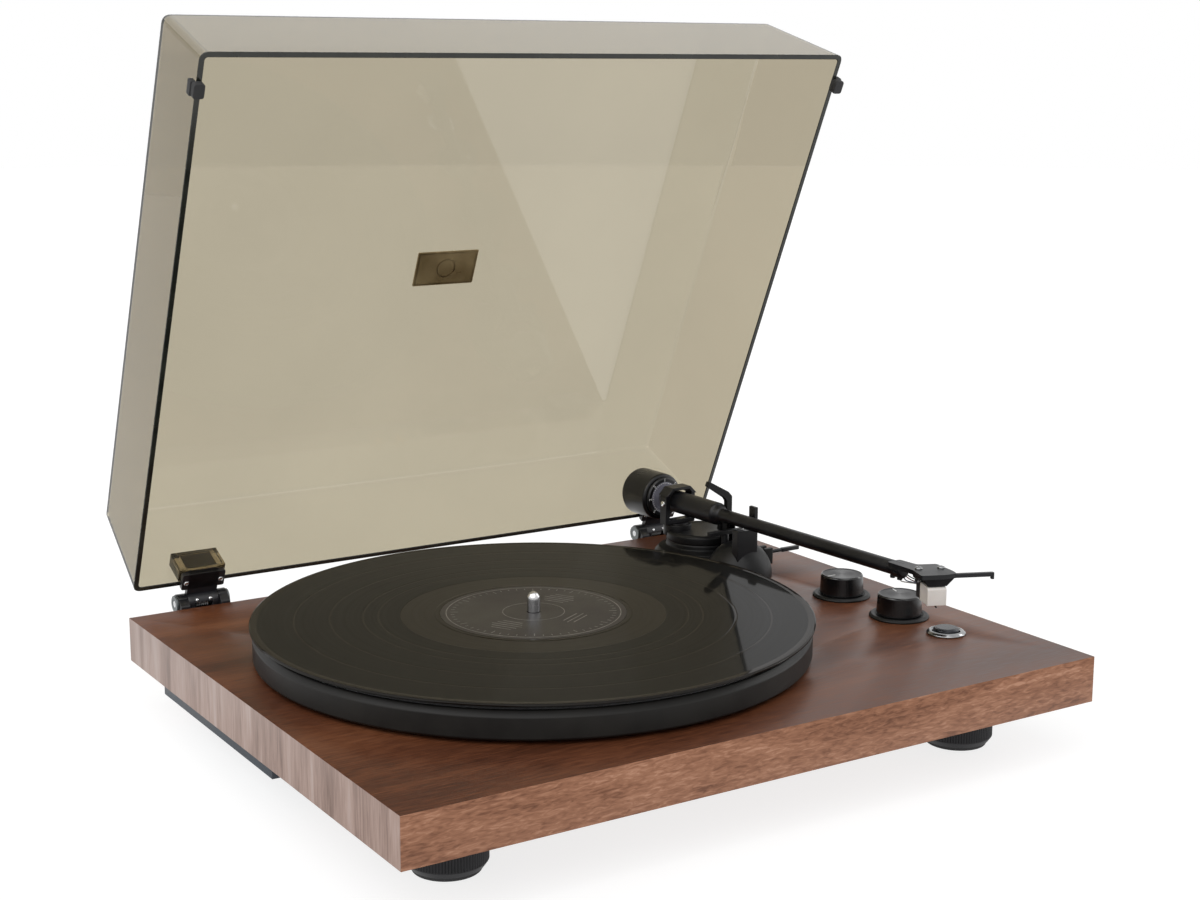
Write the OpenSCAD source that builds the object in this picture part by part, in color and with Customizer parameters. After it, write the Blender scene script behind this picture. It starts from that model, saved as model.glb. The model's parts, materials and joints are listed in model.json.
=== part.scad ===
// Belt-drive turntable record player with its lid open. Millimetres, +Z up, feet on z = 0.
// X runs to the right of the front, Y runs to the back. The origin is under the middle of the whole outline.

/* [Plinth] */
// Width of the plinth board
plinth_w = 412; // [406:1:440]
// Depth of the plinth board
plinth_d = 341; // [338:1:360]
// Thickness of the plinth board
plinth_t = 25; // [24:1:30]
// Thickness of wood left over the pockets
skin_t = 6; // [5:0.5:7]
// Height of the tray under the plinth
tray_h = 9.3; // [8:0.1:12]

/* [Feet] */
// Height of a foot with its pad
foot_h = 28.5; // [24:0.5:32]
// Radius of a foot
foot_r = 20; // [18:0.5:21]
// Distance from the middle to a foot, sideways
foot_x = 157; // [150:1:160]
// Distance from the middle to a foot, front to back
foot_y = 119; // [116:1:122]

/* [Platter and record] */
// Sideways place of the spindle
spindle_x = -40; // [-42:1:-38]
// Radius of the platter
platter_r = 149.3; // [147:0.1:150]
// Gap between the deck and the platter
platter_gap = 2; // [1.5:0.1:3]
// Height of the platter's top face over the deck
platter_top = 16.5; // [15:0.5:18]
// Thickness of the mat
mat_t = 2.4; // [2:0.1:3]
// Radius of a twelve-inch record
record_r = 150.8; // [150:0.1:151]
// Thickness of the record at its rim
record_t = 1.6; // [1.2:0.1:2]
// Radius of the spindle
spindle_r = 3.5; // [3.4:0.05:3.6]
// Radius of the ring that the belt drives
belt_ring_r = 100; // [96:1:102]
// Radius of the motor pulley
pulley_r = 6; // [5:0.5:7]

/* [Tonearm] */
// Sideways place of the tonearm pivot
pivot_x = 137; // [135:1:139]
// Front-to-back place of the tonearm pivot
pivot_y = 119; // [117:1:121]
// Height of the tonearm axis over the deck
arm_z = 36; // [35:0.5:38]
// Angle of the parked tonearm, turned away from the platter
arm_yaw = 2.8; // [2:0.1:4]
// Radius of the arm tube
tube_r = 4.1; // [4:0.1:4.3]
// Distance from the pivot to the end of the tube
tube_end = 198; // [196:1:200]
// Angle of the headshell to the tube
head_offset = -26; // [-27:0.5:-24]
// Radius of the counterweight
weight_r = 15; // [14:0.5:15.5]

/* [Controls] */
// Radius of a knob
knob_r = 12.9; // [12:0.1:13.5]
// Height of a knob's top over the deck
knob_top = 13.5; // [12:0.5:15]
// Radius of a knob's bezel
bezel_r = 17; // [16:0.5:18]
// Radius of the button's ring
button_ring_r = 10.8; // [10:0.1:11.5]

/* [Lid] */
// Width of the lid at its rim
lid_w = 401; // [398:1:404]
// Length of the lid at its rim
lid_l = 332; // [330:1:334]
// Height of the lid
lid_h = 69.4; // [68:0.1:72]
// Thickness of the lid's walls
lid_wall = 3; // [2.5:0.1:3.5]
// Angle of the open lid
lid_open = 65.9; // [60:0.1:70]

/* [Hidden] */
$fn = 64;

// Clearances between pieces that move and pieces that fit
run_gap = 0.06;
fit_gap = 0.03;
part_gap = 0.3;

// Levels: every module below works from the deck, and on_deck lifts it to its place
deck_z = foot_h + plinth_t;
tray_t = 1.2;
tray_front = -21;
tray_back = 130;
tray_side = plinth_w / 2 - 5;

// Motor and belt
motor_reach = belt_ring_r + pulley_r + 9;
motor_dir = 143;
motor_x = spindle_x + motor_reach * cos(motor_dir);
motor_y = motor_reach * sin(motor_dir);
motor_r = 17.5;
motor_h = 16;
belt_z = 4.6;
belt_h = 3;
belt_t = 1;

// Record stack
mat_top = platter_top + mat_t;
record_z = mat_top + 0.1;
record_top = record_z + record_t;
label_r = 50;
shaft_end = -17.9;
shaft_r = 3.2;
ball_r = 1.95;

// Controls
control_x = 168;
speed_y = -7;
mode_y = -58;
button_y = -97;
knob_places = [[control_x, speed_y], [control_x, mode_y]];
stem_r = 3;

// Rear sockets
socket_z = -13;
panel_x = 50;
panel_w = 84;
panel_h = 20;
panel_t = 1.5;
rear_y = plinth_d / 2;

// Tonearm base and cueing unit
base_x = 149;
base_y = 109;
base_h = 19;
collar_r = 9;
collar_top = 22.1;
cue_x = 144;
cue_y = 62;
cue_r = 20;
cue_h = 22;
rest_y = 52;
rest_x = pivot_x + (pivot_y - rest_y) * tan(arm_yaw);
lift_y = 71;
lift_x = pivot_x + (pivot_y - lift_y) * tan(arm_yaw);
lever_x = cue_x + 20;
lever_z = 11.5;
clip_x = 149.4;
clip_y = 82;
clip_z = 33;
skate_x = 161;
skate_y = 99;

// Arm pieces, in the arm's own frame: pivot at zero, arm along -Y
sleeve_r = 7;
sleeve_front = -42;
sleeve_back = 8;
stub_r = 4;
stub_end = 43;
core_r = 7;
weight_front = 16;
weight_back = 41;
dial_r = 13;
dial_bore = 8.6;
leg_in = 8.3;
leg_out = 12;
pin_r = 1;
head_x = 4;
head_y = -219.3;
plate_top = 4;
plate_t = 2.6;
screw_pitch = 12.7;
stylus_y = -12;

// Lid, drawn closed and turned open about the hinge axis
hinge_y = rear_y + 8.5;
hinge_z = 1.4;
hinge_x = 160;
hinge_w = 30;
hinge_r = 5.5;
hinge_pin_r = 2;
arm_w = 18.4;
rim_z = 5.3;
lid_back = hinge_y - 10;
lid_front = lid_back - lid_l;
inset_front = 9;
inset_back = 4;
inset_side = 5;
pocket_front = lid_back - 12;
pocket_top = 21;
pocket_w = 28;
blade_front = lid_back - 10;
blade_back = lid_back - 6;

// The outline's middle, from the plinth's front to the open lid's far edge
lid_far = hinge_y + (lid_back - inset_back - hinge_y) * cos(lid_open)
    + (rim_z + lid_h - hinge_z) * sin(lid_open);
shift_y = -(lid_far - plinth_d / 2) / 2;

module on_deck() translate([0, shift_y, deck_z]) children();
module both_sides() for (side = [-1, 1]) translate([side * hinge_x, 0, 0]) children();
module in_arm() on_deck() translate([pivot_x, pivot_y, arm_z]) rotate([0, 0, arm_yaw]) children();
module in_head() in_arm() translate([head_x, head_y, 0]) rotate([0, 0, head_offset]) children();
module opened() translate([0, hinge_y, hinge_z]) rotate([-lid_open, 0, 0])
    translate([0, -hinge_y, -hinge_z]) children();

// A cylinder along X or Y, from one place to another
module rod_x(r, x0, x1) translate([x0, 0, 0]) rotate([0, 90, 0]) cylinder(r = r, h = x1 - x0);
module rod_y(r, y0, y1) translate([0, y0, 0]) rotate([-90, 0, 0]) cylinder(r = r, h = y1 - y0);
module rod_z(r, z0, z1) translate([0, 0, z0]) cylinder(r = r, h = z1 - z0);
module ring_z(r, bore, z0, z1) difference() {
    rod_z(r, z0, z1);
    rod_z(bore, z0 - 1, z1 + 1);
}
// A block from its lowest to its highest corner
module block(low, high) translate(low) cube(high - low);

// Points of an arc, for outlines
function arc(cx, cy, r, a0, a1, n) =
    [for (i = [0:n]) let (a = a0 + (a1 - a0) * i / n) [cx + r * cos(a), cy + r * sin(a)]];

foot_places = [[-foot_x, -foot_y], [foot_x, -foot_y], [-foot_x, foot_y], [foot_x, foot_y]];
tray_screw_places = [for (side = [-1, 1], y = [-12, 55, 122]) [side * (plinth_w / 2 - 11), y]];

// ---- Plinth and base ----

module pockets() {
    translate([motor_x, motor_y, 0]) rod_z(24, -plinth_t - 1, -skin_t);
    translate([motor_x, motor_y, 0]) rod_z(8, -skin_t - 1, 1);
    translate([base_x, base_y, 0]) rod_z(17, -plinth_t - 1, -skin_t);
    translate([base_x, base_y, 0]) rod_z(6.05, -skin_t - 1, 1);
    block([4, 66, -plinth_t - 1], [96, 152, -skin_t]);
    block([control_x - 16, button_y - 14, -plinth_t - 1], [control_x + 16, speed_y + 16, -skin_t]);
    block([motor_x, motor_y - 4, -plinth_t - 1], [5, motor_y + 4, -plinth_t + 7]);
    block([95, base_y - 4, -plinth_t - 1], [base_x, base_y + 4, -plinth_t + 7]);
    block([control_x - 4, speed_y, -plinth_t - 1], [control_x + 4, base_y, -plinth_t + 7]);
}

module plinth() color("saddlebrown") on_deck() difference() {
    block([-plinth_w / 2, -plinth_d / 2, -plinth_t], [plinth_w / 2, plinth_d / 2, 0]);
    pockets();
    translate([spindle_x, 0, 0]) rod_z(9 + fit_gap, -plinth_t - 1, 1);
    for (p = knob_places) translate([p[0], p[1], 0]) rod_z(stem_r + 1, -skin_t - 1, 1);
    translate([control_x, button_y, 0]) rod_z(8 + fit_gap, -skin_t - 1, 1);
    for (p = foot_places) translate([p[0], p[1], 0]) rod_z(2 + fit_gap, -plinth_t - 1, -plinth_t + 13);
    for (p = tray_screw_places) translate([p[0], p[1], 0])
        rod_z(1.5 + fit_gap, -plinth_t - 1, -plinth_t + 9);
    block([panel_x - panel_w / 2, rear_y - panel_t, socket_z - panel_h / 2],
        [panel_x + panel_w / 2, rear_y + 1, socket_z + panel_h / 2]);
    block([panel_x - 38, 151, socket_z - 8], [panel_x + 38, rear_y, socket_z + 7]);
    for (side = [-1, 1], x = [-8, 8]) translate([side * hinge_x + x, 0, -14])
        rod_y(1.5 + fit_gap, rear_y - 10, rear_y + 1);
}

module bottom_tray() color("darkslategray") on_deck() translate([0, 0, -plinth_t]) difference() {
    block([-tray_side, tray_front, -tray_h], [tray_side, tray_back, 0]);
    block([tray_t - tray_side, tray_front + tray_t, tray_t - tray_h],
        [tray_side - tray_t, tray_back - tray_t, 1]);
    for (side = [-1, 1]) translate([side * foot_x, foot_y, 0]) rod_z(foot_r + 2, -tray_h - 1, 1);
    for (p = tray_screw_places) translate([p[0], p[1], 0]) rod_z(1.5 + fit_gap, -tray_h - 1, 0);
    for (i = [-3:3]) block([i * 9 - 42, 30, -tray_h - 1], [i * 9 - 39, 60, -tray_h + tray_t + 1]);
}

// Plate under the control pocket, cut out around the front foot
module control_cover() color("darkslategray") on_deck() difference() {
    block([control_x - 19, button_y - 17, -plinth_t - tray_t],
        [control_x + 19, tray_front - 0.3, -plinth_t]);
    translate([foot_x, -foot_y, 0]) rod_z(foot_r + 0.5, -plinth_t - 2, -plinth_t + 1);
}

module tray_screws() color("dimgray") on_deck() for (p = tray_screw_places)
    translate([p[0], p[1], -plinth_t]) {
        rod_z(1.5, -tray_h, 8);
        rod_z(3, -tray_h - 1.2, -tray_h);
    }

module foot(x, y) color("black") translate([x, y + shift_y, 0]) difference() {
    rotate_extrude() polygon([[2 + fit_gap, 2], [foot_r - 2.5, 2], [foot_r - 0.4, 5], [foot_r - 0.4, 19],
        [foot_r, 19.6], [foot_r, 22], [foot_r - 2, 23], [foot_r - 2, foot_h], [2 + fit_gap, foot_h]]);
    rod_z(foot_r - 3.5, 1, 3.4);
    rod_z(4.5, 2, 9);
}
module foot_front_left() foot(-foot_x, -foot_y);
module foot_front_right() foot(foot_x, -foot_y);
module foot_rear_left() foot(-foot_x, foot_y);
module foot_rear_right() foot(foot_x, foot_y);

module foot_pads() color("dimgray") for (p = foot_places)
    translate([p[0], p[1] + shift_y, 0]) rod_z(foot_r - 3.55, 0, 3.4);

module foot_screws() color("silver") for (p = foot_places) translate([p[0], p[1] + shift_y, 0]) {
    rod_z(2, 6, foot_h + 12);
    rod_z(4, 5.5, 9);
}

// ---- Rear sockets and electronics ----

module at_socket(x) on_deck() translate([x, 0, socket_z]) children();

module rear_panel() color("dimgray") on_deck() difference() {
    block([panel_x - panel_w / 2, rear_y - panel_t, socket_z - panel_h / 2],
        [panel_x + panel_w / 2, rear_y, socket_z + panel_h / 2]);
    for (x = [24, 40]) translate([x, 0, socket_z]) rod_y(3.6 + fit_gap, rear_y - 3, rear_y + 1);
    translate([54, 0, socket_z]) rod_y(2 + fit_gap, rear_y - 3, rear_y + 1);
    block([61.4, rear_y - 3, socket_z - 1.9], [71.6, rear_y + 1, socket_z + 1.9]);
    block([74.95, rear_y - 3, socket_z - 5.05], [85.05, rear_y + 1, socket_z + 5.05]);
}

module phono_sockets() color("gold") for (x = [24, 40]) at_socket(x) difference() {
    union() {
        rod_y(3.6, rear_y - 10, rear_y + 0.5);
        rod_y(5.5, rear_y, rear_y + 1);
        rod_y(4.15, rear_y + 1, rear_y + 9.5);
    }
    rod_y(1.6, rear_y, rear_y + 10);
}

module ground_terminal() color("silver") at_socket(54) {
    rod_y(2, rear_y - 9, rear_y + 8.6);
    rod_y(4.3, rear_y, rear_y + 6.5);
}

module supply_inlet() color("black") at_socket(80) difference() {
    union() {
        block([-5, rear_y - 12, -5], [5, rear_y, 5]);
        block([-6, rear_y, -6], [6, rear_y + 0.9, 6]);
    }
    difference() {
        rod_y(2.75, rear_y - 9, rear_y + 2);
        rod_y(0.9, rear_y - 10, rear_y - 0.8);
    }
}

module level_switch() color("black") at_socket(62)
    block([0, rear_y - 5, -1.5], [4, rear_y + 2.4, 1.5]);

module circuit_board() color("darkgreen") on_deck() {
    block([10, 72, -21], [90, 148, -19.4]);
    for (x = [14, 86], y = [76, 144]) translate([x, y, 0]) rod_z(3, -19.4, -skin_t);
    block([20, 82, -19.4], [34, 92, -14]);
    block([22, 112, -19.4], [30, 124, -16]);
    for (x = [20, 30, 40]) translate([x, 102, 0]) rod_z(3.2, -19.4, -11);
}

module rotary_switches() color("gray") on_deck() for (p = knob_places) translate([p[0], p[1], 0])
    difference() {
        block([-11, -11, -17], [11, 11, -skin_t]);
        rod_z(stem_r + run_gap, -14, 0);
    }

// ---- Controls ----

module knob_bezels() color("black") on_deck() for (p = knob_places) translate([p[0], p[1], 0])
    rotate_extrude() polygon([[stem_r + 0.6, 0], [bezel_r, 0], [bezel_r, 1], [bezel_r - 1.4, 2],
        [knob_r + 0.6, 2], [knob_r + 0.6, 1.4], [stem_r + 0.6, 1.4]]);

module knob(p) color("black") on_deck() translate([p[0], p[1], 0]) rotate_extrude()
    polygon([[0, -13], [stem_r, -13], [stem_r, 1.8], [knob_r, 1.8], [knob_r - 0.5, knob_top - 0.8],
        [knob_r - 1.2, knob_top], [0, knob_top]]);
module speed_knob() knob(knob_places[0]);
module mode_knob() knob(knob_places[1]);

module at_button() on_deck() translate([control_x, button_y, 0]) children();

module button_ring() color("silver") at_button() rotate_extrude()
    polygon([[7.5, -skin_t], [8, -skin_t], [8, 0], [button_ring_r, 0], [button_ring_r, 0.9],
        [button_ring_r - 1.2, 1.9], [8.3, 2.2], [7.5, 1.6]]);

module button_cap() color("black") at_button() rotate_extrude()
    polygon([[0, -7.5], [3, -7.5], [3, -4], [7.1, -4], [7.1, 2.7], [6.5, 3.4], [0, 3.6]]);

module button_switch() color("gray") at_button() {
    block([-8, -8, -19], [8, 8, -10.3]);
    for (side = [-1, 1]) block([side * 9 - 1, -8, -19], [side * 9 + 1, 8, -skin_t]);
}

// ---- Drive ----

module at_motor() on_deck() translate([motor_x, motor_y, 0]) children();
module at_spindle() on_deck() translate([spindle_x, 0, 0]) children();

module motor() color("silver") at_motor() difference() {
    union() {
        rod_z(motor_r, -7.5 - motor_h, -7.5);
        rod_z(5, -8, -4.5);
    }
    rod_z(1 + run_gap, -14, 0);
}

module motor_bracket() color("gray") at_motor() difference() {
    union() {
        rod_z(22, -7.5, -skin_t);
        for (a = [90, 210, 330]) rotate([0, 0, a]) translate([19.6, 0, 0]) rod_z(1.9, -14, -7.5);
    }
    rod_z(5 + fit_gap, -9, 0);
}

module motor_pulley() color("gold") at_motor() rotate_extrude()
    polygon([[0, -13], [1, -13], [1, 2.6], [pulley_r + 1.4, 2.6], [pulley_r + 1.4, 3.4],
        [pulley_r, 3.8], [pulley_r, 8.4], [pulley_r + 1.4, 8.7], [pulley_r + 1.4, 9], [0, 9]]);

// The belt's outline at a distance from the ring and the pulley
belt_wrap = acos((belt_ring_r - pulley_r) / motor_reach);
function belt_line(out) = concat(
    arc(0, 0, belt_ring_r + out, motor_dir + belt_wrap, motor_dir + 360 - belt_wrap, 72),
    arc(motor_x - spindle_x, motor_y, pulley_r + out, motor_dir - belt_wrap, motor_dir + belt_wrap, 10));

module drive_belt() color("black") at_spindle() translate([0, 0, belt_z]) linear_extrude(belt_h)
    difference() {
        polygon(belt_line(0.3 + belt_t));
        polygon(belt_line(0.3));
    }

module bearing_housing() color("silver") at_spindle() rotate_extrude()
    polygon([[0, -24], [9, -24], [9, 0], [15, 0], [15, 1.4], [shaft_r + run_gap, 1.4],
        [shaft_r + run_gap, -21.9], [0, -21.9]]);

module thrust_ball() color("silver") at_spindle() translate([0, 0, -19.93]) sphere(r = ball_r);

module spindle() color("silver") at_spindle() rotate_extrude()
    polygon([[0, shaft_end], [shaft_r, shaft_end], [shaft_r, mat_top], [spindle_r, record_top + 0.3],
        [spindle_r, record_top + 7],
        [spindle_r - 0.7, record_top + 9.3], [1, record_top + 11], [0, record_top + 11.2]]);

module platter() color("black") at_spindle() rotate_extrude()
    polygon([[shaft_r + fit_gap, 3.2], [belt_ring_r, 3.2], [belt_ring_r, 9.6], [126, 9.6],
        [126, platter_gap], [platter_r - 1, platter_gap], [platter_r, platter_gap + 1],
        [platter_r, platter_top - 3], [platter_r - 2.4, platter_top],
        [shaft_r + fit_gap, platter_top]]);

module slipmat() color("dimgray") at_spindle()
    ring_z(platter_r - 3.4, spindle_r + 0.12, platter_top, mat_top);

module record() color("black") at_spindle() rotate_extrude()
    polygon([[spindle_r + 0.12, record_z], [record_r - 0.7, record_z], [record_r, record_z + 0.6],
        [record_r, record_top - 0.6], [record_r - 0.7, record_top], [record_r - 3.5, record_top - 0.15],
        [60, record_top - 0.15], [label_r + 2, record_top - 0.05], [label_r + 2, record_top],
        [spindle_r + 0.12, record_top]]);

module record_label() color("gray") at_spindle()
    ring_z(label_r, spindle_r + 0.12, record_top, record_top + 0.12);

// ---- Tonearm base and cueing ----

// Quarter of an ellipse, as the outline of a dome
function dome(r, h, n) = [for (i = [0:n]) let (a = 90 * i / n) [r * cos(a), 2 + (h - 2) * sin(a)]];

module arm_base() color("black") on_deck() difference() {
    union() {
        translate([base_x, base_y, 0]) {
            rotate_extrude() polygon([[0, 0], [30, 0], [30, 5], [27, 8.5], [22.6, 9.5], [22.6, base_h - 1.5],
                [21, base_h], [0, base_h]]);
            rod_z(6, -16, 1);
        }
        translate([cue_x, cue_y, 0]) rotate_extrude()
            polygon(concat([[0, 0], [cue_r, 0]], dome(cue_r, cue_h, 8)));
        block([cue_x - 14, cue_y, 0], [cue_x + 14, base_y, 7.5]);
        translate([rest_x, rest_y, 0]) {
            block([-7.5, -3, 4], [7.5, 3, arm_z - tube_r - 0.7]);
            block([5, -3, 20], [7.5, 3, arm_z + 9]);
            block([-7.5, -3, 20], [-5.5, 3, arm_z - tube_r - 0.5]);
        }
        block([lever_x - 8, cue_y - 4.6, 5], [lever_x + 2.6, cue_y + 4.6, 15]);
        translate([clip_x, clip_y, 0]) block([-2.4, -4.6, 5], [2.4, 4.6, clip_z + 2.6]);
        translate([pivot_x, pivot_y, 0]) rod_z(collar_r, base_h - 4, collar_top);
    }
    translate([pivot_x, pivot_y, 0]) rod_z(3 + run_gap, 3, collar_top + 1);
    translate([lift_x, lift_y, 0]) rod_z(2.2 + run_gap, 3, cue_h + 3);
    difference() {
        block([lever_x - 5, cue_y - 1.8, 2], [lever_x + 5, cue_y + 1.8, 20]);
        translate([lever_x, cue_y, lever_z]) rod_y(1, -5, 5);
    }
    difference() {
        block([clip_x - 5, clip_y - 2.1, clip_z - 4.4], [clip_x + 5, clip_y + 2.1, clip_z + 5]);
        translate([clip_x, clip_y, clip_z]) rod_y(1, -5, 5);
    }
    translate([skate_x, skate_y, 0]) rod_z(2 + run_gap, base_h - 7, base_h + 1);
}

module base_nut() color("silver") on_deck() translate([base_x, base_y, -skin_t - 5]) difference() {
    cylinder(r = 11, h = 5, $fn = 6);
    rod_z(6 + fit_gap, -1, 6);
}

module antiskate_knob() color("black") on_deck() translate([skate_x, skate_y, 0]) rotate_extrude()
    polygon([[0, base_h - 6], [2, base_h - 6], [2, base_h + 0.3], [6, base_h + 0.3], [5.6, base_h + 6],
        [5, base_h + 6.5], [0, base_h + 6.5]]);

module lift_platform() color("black") on_deck() translate([lift_x, lift_y, 0]) {
    rod_z(2.2, 8, 25);
    block([-13, -2, 24.6], [13, 2, 27]);
}

module cue_lever() color("black") on_deck() translate([lever_x, cue_y, lever_z]) difference() {
    union() {
        rod_y(2.2, -1.4, 1.4);
        rod_x(1.1, 1, 14);
        block([12, -1.4, -1.2], [26, 1.4, 1.2]);
    }
    rod_y(1 + run_gap, -3, 3);
}

module arm_clip() color("black") on_deck() translate([clip_x, clip_y, clip_z]) difference() {
    union() {
        rod_y(2, -1.8, 1.8);
        translate([0, 1.8, 0]) rotate([90, 0, 0]) linear_extrude(3.6)
            polygon([[-1.9, 0], [1.9, 0], [1.9, 12.5], [-0.9, 15.5], [-15.4, 23.4], [-16.8, 21],
                [-3, 12.6], [-1.9, 10.5]]);
    }
    rod_y(1 + run_gap, -3, 3);
}

// ---- Tonearm ----

module gimbal_yoke() color("black") in_arm() difference() {
    union() {
        for (side = [-1, 1]) translate([side * (leg_in + leg_out) / 2, 0, 0])
            block([(leg_in - leg_out) / 2, -6, -13.5], [(leg_out - leg_in) / 2, 6, 8.4]);
        block([-leg_out, -4, 8.4], [leg_out, 4, 10.2]);
        block([-leg_out, -6, -13.5], [leg_out, 6, -10.8]);
        rod_z(3, -31, -12);
    }
    rod_x(1.8 + fit_gap, -leg_out - 1, leg_out + 1);
}

module pivot_screws() color("silver") in_arm() for (side = [0, 180]) rotate([0, 0, side]) {
    rod_x(1.8, sleeve_r + 0.5, leg_out + 0.4);
    rod_x(pin_r, sleeve_r - 1.5, sleeve_r + 1);
}

module arm_tube() color("black") in_arm() difference() {
    rotate([90, 0, 0]) rotate_extrude() polygon([[0, -sleeve_back], [sleeve_r - 0.8, -sleeve_back],
        [sleeve_r, -sleeve_back + 0.8], [sleeve_r, -sleeve_front - 1], [sleeve_r - 1, -sleeve_front],
        [tube_r + 0.6, -sleeve_front + 3], [tube_r, -sleeve_front + 3.6], [tube_r, tube_end],
        [tube_r - 0.8, tube_end], [tube_r - 0.8, -sleeve_front], [0, -sleeve_front]]);
    rod_x(pin_r + run_gap, -sleeve_r - 1, -sleeve_r + 1.8);
    rod_x(pin_r + run_gap, sleeve_r - 1.8, sleeve_r + 1);
}

module rear_stub() color("silver") in_arm() rod_y(stub_r, sleeve_back, stub_end);

module weight_core() color("black") in_arm() difference() {
    rod_y(core_r, weight_front - 2, weight_back - 1);
    rod_y(stub_r + run_gap, 0, weight_back + 5);
}

module counterweight() color("black") in_arm() rotate([-90, 0, 0]) rotate_extrude()
    polygon([[core_r + run_gap, weight_front - 2.4], [dial_bore, weight_front - 2.4],
        [dial_bore, weight_front], [weight_r - 1, weight_front], [weight_r, weight_front + 1],
        [weight_r, weight_back - 1.5], [weight_r - 1.5, weight_back], [core_r + run_gap, weight_back]]);

module force_dial() color("gray") in_arm() rotate([-90, 0, 0]) rotate_extrude()
    polygon([[dial_bore + run_gap, weight_front - 2.6], [dial_r - 1, weight_front - 2.6],
        [dial_r, weight_front - 1.6], [dial_r, weight_front - part_gap],
        [dial_bore + run_gap, weight_front - part_gap]]);

// The plate's outline, in the headshell's frame
plate_line = [[-9.6, -14.2], [4.5, -14.2], [11, -12], [11, -7], [7, 9], [-4, 9.4], [-8, 16.5],
    [-16.5, 13], [-14.5, 8], [-10.2, -2]];

module headshell() color("black") {
    in_head() translate([0, 0, plate_top - plate_t]) difference() {
        linear_extrude(plate_t) polygon(plate_line);
        for (side = [-1, 1]) translate([side * screw_pitch / 2, 0, 0]) rod_z(1.3, -1, plate_t + 1);
    }
    in_head() translate([0, -11.2, plate_top - 1.3]) {
        rod_x(1.2, 10, 31);
        translate([31, 0, 0]) rod_z(1.2, -2.4, 0);
        translate([31, 0, 0]) sphere(r = 1.2);
    }
    in_arm() rod_y(tube_r - 0.8 - fit_gap, -tube_end - 4, -tube_end + 12);
    in_arm() rod_y(tube_r, -tube_end - 6, -tube_end);
}

module cartridge() color("black") in_head() difference() {
    union() {
        block([-8.3, -4.5, -1.4], [8.3, 4.5, plate_top - plate_t]);
        block([-4, -10, -3.2], [4, 7, -1.4]);
        block([-5.2, 0.2, -13], [5.2, 7, -3]);
    }
    for (side = [-1, 1]) translate([side * screw_pitch / 2, 0, 0]) rod_z(1.3, -2, plate_top);
}

module cartridge_screws() color("silver") in_head() for (side = [-1, 1])
    translate([side * screw_pitch / 2, 0, 0]) {
        rod_z(1.25, -3.1, plate_top);
        rod_z(2.2, plate_top, plate_top + 1.3);
        translate([0, 0, -3]) cylinder(r = 2.1, h = 1.55, $fn = 6);
    }

module stylus_holder() color("ivory") in_head()
    block([-5.35, -13, -13.5], [5.35, 0, -3.3]);

module stylus() color("dimgray") in_head() {
    translate([0, stylus_y + 3, -13.9]) rotate([103, 0, 0]) rod_z(0.3, 0, 3.1);
    translate([0, stylus_y, -14.7]) rod_z(0.3, 0, 0.5);
    translate([0, stylus_y, -14.7]) rod_z(0.15, -0.25, 0.1);
}

// ---- Lid ----

// A box that narrows from its rim to its top, as a closed solid
module taper_box(w, front, back, z0, z1, side, f, b) polyhedron(
    points = [[-w, front, z0], [w, front, z0], [w, back, z0], [-w, back, z0],
        [side - w, front + f, z1], [w - side, front + f, z1], [w - side, back - b, z1],
        [side - w, back - b, z1]],
    faces = [[0, 1, 2, 3], [4, 7, 6, 5], [0, 4, 5, 1], [1, 5, 6, 2], [2, 6, 7, 3], [3, 7, 4, 0]]);

module hinge_blade() block([-arm_w / 2, blade_front, 1.6], [arm_w / 2, blade_back, pocket_top - 2]);

module lid() color("tan", 0.5) on_deck() opened() {
    difference() {
        taper_box(lid_w / 2, lid_front, lid_back, rim_z, rim_z + lid_h, inset_side, inset_front, inset_back);
        taper_box(lid_w / 2 - lid_wall, lid_front + lid_wall, lid_back - lid_wall, rim_z - 0.01,
            rim_z + lid_h - lid_wall, inset_side, inset_front, inset_back);
    }
    both_sides() difference() {
        block([-pocket_w / 2, pocket_front, rim_z], [pocket_w / 2, lid_back - lid_wall + 0.2, pocket_top]);
        block([-arm_w / 2 - fit_gap, blade_front - fit_gap, rim_z - 1],
            [arm_w / 2 + fit_gap, blade_back + fit_gap, pocket_top - 2 + fit_gap]);
    }
}

module lid_bumpers() color("black") on_deck() opened() for (side = [-1, 1])
    translate([side * lid_w / 2, lid_front + 19, rim_z]) block([-3.2, -4, -4.8], [3.2, 4, 0]);

module lid_badge() color("dimgray") on_deck() opened()
    block([-20, -5.5, rim_z + lid_h - lid_wall - 0.8], [21, 17.5, rim_z + lid_h - lid_wall]);

module at_hinge() both_sides() translate([0, hinge_y, hinge_z]) children();

module hinge_bases() color("black") on_deck() at_hinge() difference() {
    union() {
        block([-hinge_w / 2, rear_y - hinge_y, -21], [hinge_w / 2, rear_y - hinge_y + 2, -5]);
        for (side = [-1, 1]) {
            rod_x(hinge_r, side * 12.2 - 2.8, side * 12.2 + 2.8);
            block([side * 12.2 - 2.8, rear_y - hinge_y, -9], [side * 12.2 + 2.8, 0, 0]);
        }
    }
    rod_x(hinge_pin_r + fit_gap, -hinge_w, hinge_w);
    for (x = [-8, 8]) translate([x, 0, -14 - hinge_z]) rod_y(1.5 + fit_gap, -10, 10);
}

module hinge_arms() color("black") on_deck() opened() both_sides() difference() {
    union() {
        translate([0, hinge_y, hinge_z]) rod_x(hinge_r, -arm_w / 2, arm_w / 2);
        block([-arm_w / 2, blade_front, 1.6], [arm_w / 2, hinge_y - 2, rim_z - 0.4]);
        hinge_blade();
    }
    translate([0, hinge_y, hinge_z]) {
        rod_x(hinge_pin_r + run_gap, -arm_w, arm_w);
        rod_x(4.4, -5.3, 5.3);
    }
}

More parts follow.
